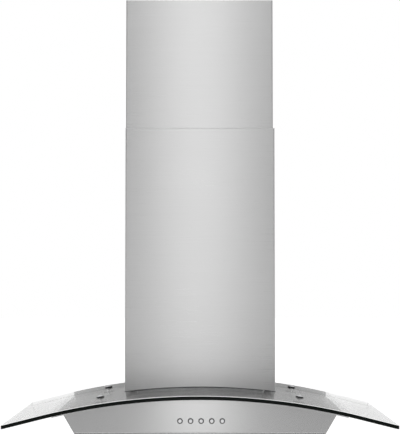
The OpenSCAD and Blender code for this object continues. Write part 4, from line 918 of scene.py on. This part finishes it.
# %% Folding handles
WIRE_R, WIRE_BEND = 1.3 * MM, 4 * MM
for side in SIDES:
    low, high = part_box(f"filter_{side}_handle")
    x0, x1 = low.x + WIRE_R + WIRE_BEND, high.x - WIRE_R - WIRE_BEND
    y0, y1 = low.y + WIRE_R + WIRE_BEND, high.y - WIRE_R - WIRE_BEND
    corners = ((x0, y0, 180), (x1, y0, 270), (x1, y1, 0), (x0, y1, 90))
    loop = np.vstack([corner_arc(x, y, WIRE_BEND, start) for x, y, start in corners])
    path = np.column_stack([loop, np.full(len(loop), (low.z + high.z) / 2)])
    wire = swept(path, ellipse(WIRE_R, WIRE_R, 16), (0, 0, 1), True)
    add_piece(f"filter_{side}_wire_handle", [wire], f"filter_{side}_handle", POLISHED,
              f"filter_{side}_handle")


# %% [markdown]
# A lamp is a spun cup with a rolled trim ring, and a frosted lens that stands a hair inside
# it. Both are profiles turned about the lamp's own axis. Plain discs would melt into one, so
# the lens has a groove near its rim, which parts the disc from its edge.

# %% Lamp cups and lenses
LAMP_AROUND = 64
TRIM_T, TRIM_W, CUP_WALL, WIRE_HOLE_R = 1.5 * MM, 3.5 * MM, 1.5 * MM, 2.75 * MM
LENS_STEPS = np.array([(0, 0), (0.74, 0), (0.77, 0.3), (0.83, 0.3), (0.86, 0.02),
                       (0.95, 0.02), (1, 0.45), (1, 1), (0, 1)])
for side in SIDES:
    low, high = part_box(f"lamp_{side}_cup")
    x, y = (low.x + high.x) / 2, (low.y + high.y) / 2
    cup_r, top = (high.x - low.x) / 2 - TRIM_W, high.z - low.z - TRIM_T
    bore, rim = cup_r - CUP_WALL, cup_r + TRIM_W
    profile = rounded([
        [WIRE_HOLE_R, top - CUP_WALL], [bore, top - CUP_WALL], [bore, -0.9 * MM],
        [bore + 1 * MM, -TRIM_T], [rim - 1.2 * MM, -TRIM_T], [rim, -0.5 * MM], [rim, 0],
        [cup_r, 0], [cup_r, top], [WIRE_HOLE_R, top], [WIRE_HOLE_R, top - CUP_WALL],
    ], 0.4 * MM)
    cup = turned(profile, (x, y, low.z + TRIM_T), (0, 0, 1), LAMP_AROUND)
    add_piece(f"lamp_{side}_spun_cup", [cup], "hood", SATIN, f"lamp_{side}_cup")
    low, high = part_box(f"lamp_{side}_lens")
    profile = rounded(LENS_STEPS * ((high.x - low.x) / 2, high.z - low.z), 0.4 * MM)
    lens = turned(profile, (x, y, low.z), (0, 0, 1), LAMP_AROUND)
    add_piece(f"lamp_{side}_frosted_lens", [lens], "hood", LENS, f"lamp_{side}_lens")


# %% [markdown]
# The screws in the covers have pan heads with a cross recess. A Boolean could cut the cross,
# but it leaves ragged faces on so small a head. Here it is pressed into a turned head: every
# point close to one of two lines through the middle moves down by the recess's depth.

# %% Screws with a cross recess
SCREW_R, PAN_R, PAN_H, SCREW_LONG = 1.9 * MM, 3.5 * MM, 2.2 * MM, 7 * MM
CROSS_HALF, CROSS_REACH, CROSS_DEPTH = 0.45 * MM, 2.1 * MM, 1.3 * MM
SEAT_OUT = 1.5 * MM


def cross_screw(seat, axis, length, steps=48):
    """Pan height h(r) = H (1 - (r / R)^4)^(1/2), less the recess where |x| or |y| is small."""
    r = np.concatenate([np.linspace(0, 0.7, 12), np.sin(np.linspace(0.82, math.pi / 2, 6))])
    r *= PAN_R
    h = PAN_H * np.sqrt(np.clip(1 - (r / PAN_R) ** 4, 0, 1))
    tail = [[SCREW_R, 0], [SCREW_R, -length + 0.8 * MM], [0.6 * MM, -length], [0, -length]]
    points, faces = turned(np.vstack([np.stack([r, h], 1), tail]), seat, axis, steps)
    turn = np.linspace(0, 2 * math.pi, steps, endpoint=False)
    near = r[:, None] * np.minimum(np.abs(np.sin(turn)), np.abs(np.cos(turn)))
    inside = np.clip((CROSS_HALF - near) / (0.2 * MM) + 0.5, 0, 1)
    inside = inside * np.clip((CROSS_REACH - r[:, None]) / (0.3 * MM) + 0.5, 0, 1)
    points[:inside.size] -= (inside.ravel() * CROSS_DEPTH)[:, None] * axes_for(axis)[2]
    return points, faces


low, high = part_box("chimney_screws")
screws = [cross_screw((side * x, y, (low.z + high.z) / 2), (side, 0, 0), SCREW_LONG)
          for side in (-1, 1) for x in (high.x - PAN_H, box_high.x + SEAT_OUT)
          for y in (low.y + PAN_R, high.y - PAN_R)]
add_piece("cover_cross_screws", screws, "hood", ZINC, "chimney_screws")


# %% [markdown]
# The camera stands three metres in front, a little above the pane, and looks slightly up. A
# wide lens close by would show more of the underside, while this long one keeps the hood's
# edges nearly parallel.

# %% Camera
CAMERA_LENS = 115.1
CAMERA_AT = (0, -3.1159, 0.0897)
CAMERA_TILT = 0.04455
camera_data = bpy.data.cameras.new("camera")
camera_data.lens = CAMERA_LENS
camera_data.clip_end = 60
camera = placed("camera", camera_data)
camera.location = CAMERA_AT
camera.rotation_euler = (math.radians(90) + CAMERA_TILT, 0, 0)
bpy.context.scene.camera = camera
print("camera tilted up by", round(math.degrees(CAMERA_TILT), 2), "degrees")


# %% [markdown]
# The studio is plain. To the camera, and through the glass, the world is white. Metal and
# glass mirror something else: behind the hood a wall that is brightest level with the eye,
# and in front the dim room. One picture of a room could serve for all of it, but separate
# levels for each kind of ray can be set one at a time.

# %% World
ROOM_GREY = 0.12
FILL = 0.75
BACK_LEVELS = ((-0.06, 0.7), (0.02, 0.9), (0.03, 1.0), (0.041, 0.86), (0.052, 0.7),
               (0.08, 0.48), (0.25, 0.45))
world = bpy.data.worlds.new("studio")
bpy.context.scene.world = world
world.use_nodes = True
wn, wl = world.node_tree.nodes, world.node_tree.links


def level_ramp(value, stops):
    """A grey level from a list of (value, level) pairs, straight between them."""
    low, high = stops[0][0], stops[-1][0]
    node = wn.new("ShaderNodeValToRGB")
    for place, level in stops:
        share = (place - low) / (high - low)
        inside = 0 < share < 1
        end = node.color_ramp.elements[0 if share <= 0 else -1]
        stop = node.color_ramp.elements.new(share) if inside else end
        stop.position, stop.color = share, (level, level, level, 1)
    wl.new(ranged(wn, wl, value, 0, 1, low, high), node.inputs["Fac"])
    return node.outputs["Color"]


def world_math(operation, a, b):
    """One Math node in the world's tree on two sockets or numbers."""
    node = wn.new("ShaderNodeMath")
    node.operation = operation
    for socket, value in zip(node.inputs, (a, b)):
        if isinstance(value, float):
            socket.default_value = value
        else:
            wl.new(value, socket)
    return node.outputs["Value"]


# %% [markdown]
# A ray that a mirror sends out gets the level for its own direction, a ray from the camera
# or through the glass finds white, and every other ray that lights the hood an even fill.

# %% What each ray finds
where = wn.new("ShaderNodeTexCoord")
split = wn.new("ShaderNodeSeparateXYZ")
wl.new(where.outputs["Generated"], split.inputs["Vector"])
levels = wn.new("ShaderNodeMix")
levels.inputs["A"].default_value = ROOM_GREY
wl.new(ranged(wn, wl, split.outputs["Y"], 0, 1, -0.3, 0.3), levels.inputs["Factor"])
wl.new(level_ramp(split.outputs["Z"], BACK_LEVELS), levels.inputs["B"])
ray = wn.new("ShaderNodeLightPath")
mirrored = ray.outputs["Is Glossy Ray"]
shown = world_math("MULTIPLY", mirrored, levels.outputs["Result"])
lighting = world_math("MULTIPLY", world_math("SUBTRACT", 1.0, mirrored), FILL)
seen = world_math("MAXIMUM", ray.outputs["Is Camera Ray"], ray.outputs["Is Transmission Ray"])
strength = world_math("MAXIMUM", world_math("ADD", shown, lighting), seen)
wl.new(strength, wn["Background"].inputs["Strength"])
wn["Background"].inputs["Color"].default_value = (1, 1, 1, 1)
print("world made with", len(wn), "nodes")


# %% [markdown]
# A tall soft lamp behind the camera puts the light band on the covers and the panel. It is
# narrow, because the scratches spread it, and a wide one would wash it out. Two wide lamps
# light the upper covers and the top of the pane.

# %% Lamps
def area_lamp(name, place, target, size, power):
    """A soft oval lamp at place that shines towards target, size in metres across and up."""
    data = bpy.data.lights.new(name, "AREA")
    data.shape = "ELLIPSE"
    data.size, data.size_y = size
    data.energy = power
    lamp = placed(name, data)
    lamp.location = place
    aim = Vector(target) - Vector(place)
    lamp.rotation_euler = aim.to_track_quat("-Z", "Y").to_euler()
    print(f"{name}: {power} W")


area_lamp("front_band", (-0.012, -4.4, 0.85), (0, 0, 0.3), (0.405, 4.4), 6.3)
area_lamp("upper_wash", (0, -4.5, 2.4), (0, 0, 0.6), (2.4, 1.2), 6.6)
area_lamp("top_fill", (0, -1.2, 2.6), (0, -0.2, 0), (2.4, 1.6), 8)


# %% [markdown]
# A pale floor lies under the hood, where a kitchen has its cooktop, and brightens what
# faces down. Left to its own shade it would look dark in the steel, so it glows for the
# camera and for mirror rays only. From below it is clear, so that the underside shows.

# %% Floor
FLOOR_Z, FLOOR_HALF = -0.85, 30.0
FLOOR_IN_METAL = 0.5
signs = ((-1, -1), (1, -1), (1, 1), (-1, 1))
corners = [(x * FLOOR_HALF, y * FLOOR_HALF, FLOOR_Z) for x, y in signs]
floor_mesh = bpy.data.meshes.new("floor")
floor_mesh.from_pydata(corners, [], [(0, 1, 2, 3)])
floor = placed("floor", floor_mesh)
print("floor laid at", FLOOR_Z, "m")


# %% [markdown]
# The glow could be a second material on a copy of the floor, but one tree does it: an
# emission is added to the matt shader, and the side that a ray meets picks that or clear.

# %% The floor's material
floor_paint, fn, fl, floor_shader = start_material("pale_floor")
set_inputs(floor_shader, {"Base Color": (0.8, 0.8, 0.8, 1), "Roughness": 0.9})
floor_path = fn.new("ShaderNodeLightPath")
glow = fn.new("ShaderNodeEmission")
glow.inputs["Color"].default_value = (0.5, 0.5, 0.5, 1)
shows = fn.new("ShaderNodeMath")
shows.operation = "MULTIPLY_ADD"
shows.inputs[1].default_value = FLOOR_IN_METAL
fl.new(floor_path.outputs["Is Glossy Ray"], shows.inputs[0])
fl.new(floor_path.outputs["Is Camera Ray"], shows.inputs[2])
fl.new(shows.outputs["Value"], glow.inputs["Strength"])
lit = fn.new("ShaderNodeAddShader")
fl.new(floor_shader.outputs[0], lit.inputs[0])
fl.new(glow.outputs[0], lit.inputs[1])
clear = fn.new("ShaderNodeBsdfTransparent")
turned_away = fn.new("ShaderNodeNewGeometry")
either = fn.new("ShaderNodeMixShader")
fl.new(turned_away.outputs["Backfacing"], either.inputs["Fac"])
fl.new(lit.outputs[0], either.inputs[1])
fl.new(clear.outputs[0], either.inputs[2])
fl.new(either.outputs[0], fn["Material Output"].inputs["Surface"])
floor_mesh.materials.append(floor_paint)
print("floor material made with", len(fn), "nodes")


# %% [markdown]
# The plain view transform keeps white white, where a filmic one would grey it.

# %% Finish
bpy.context.scene.view_settings.view_transform = "Standard"
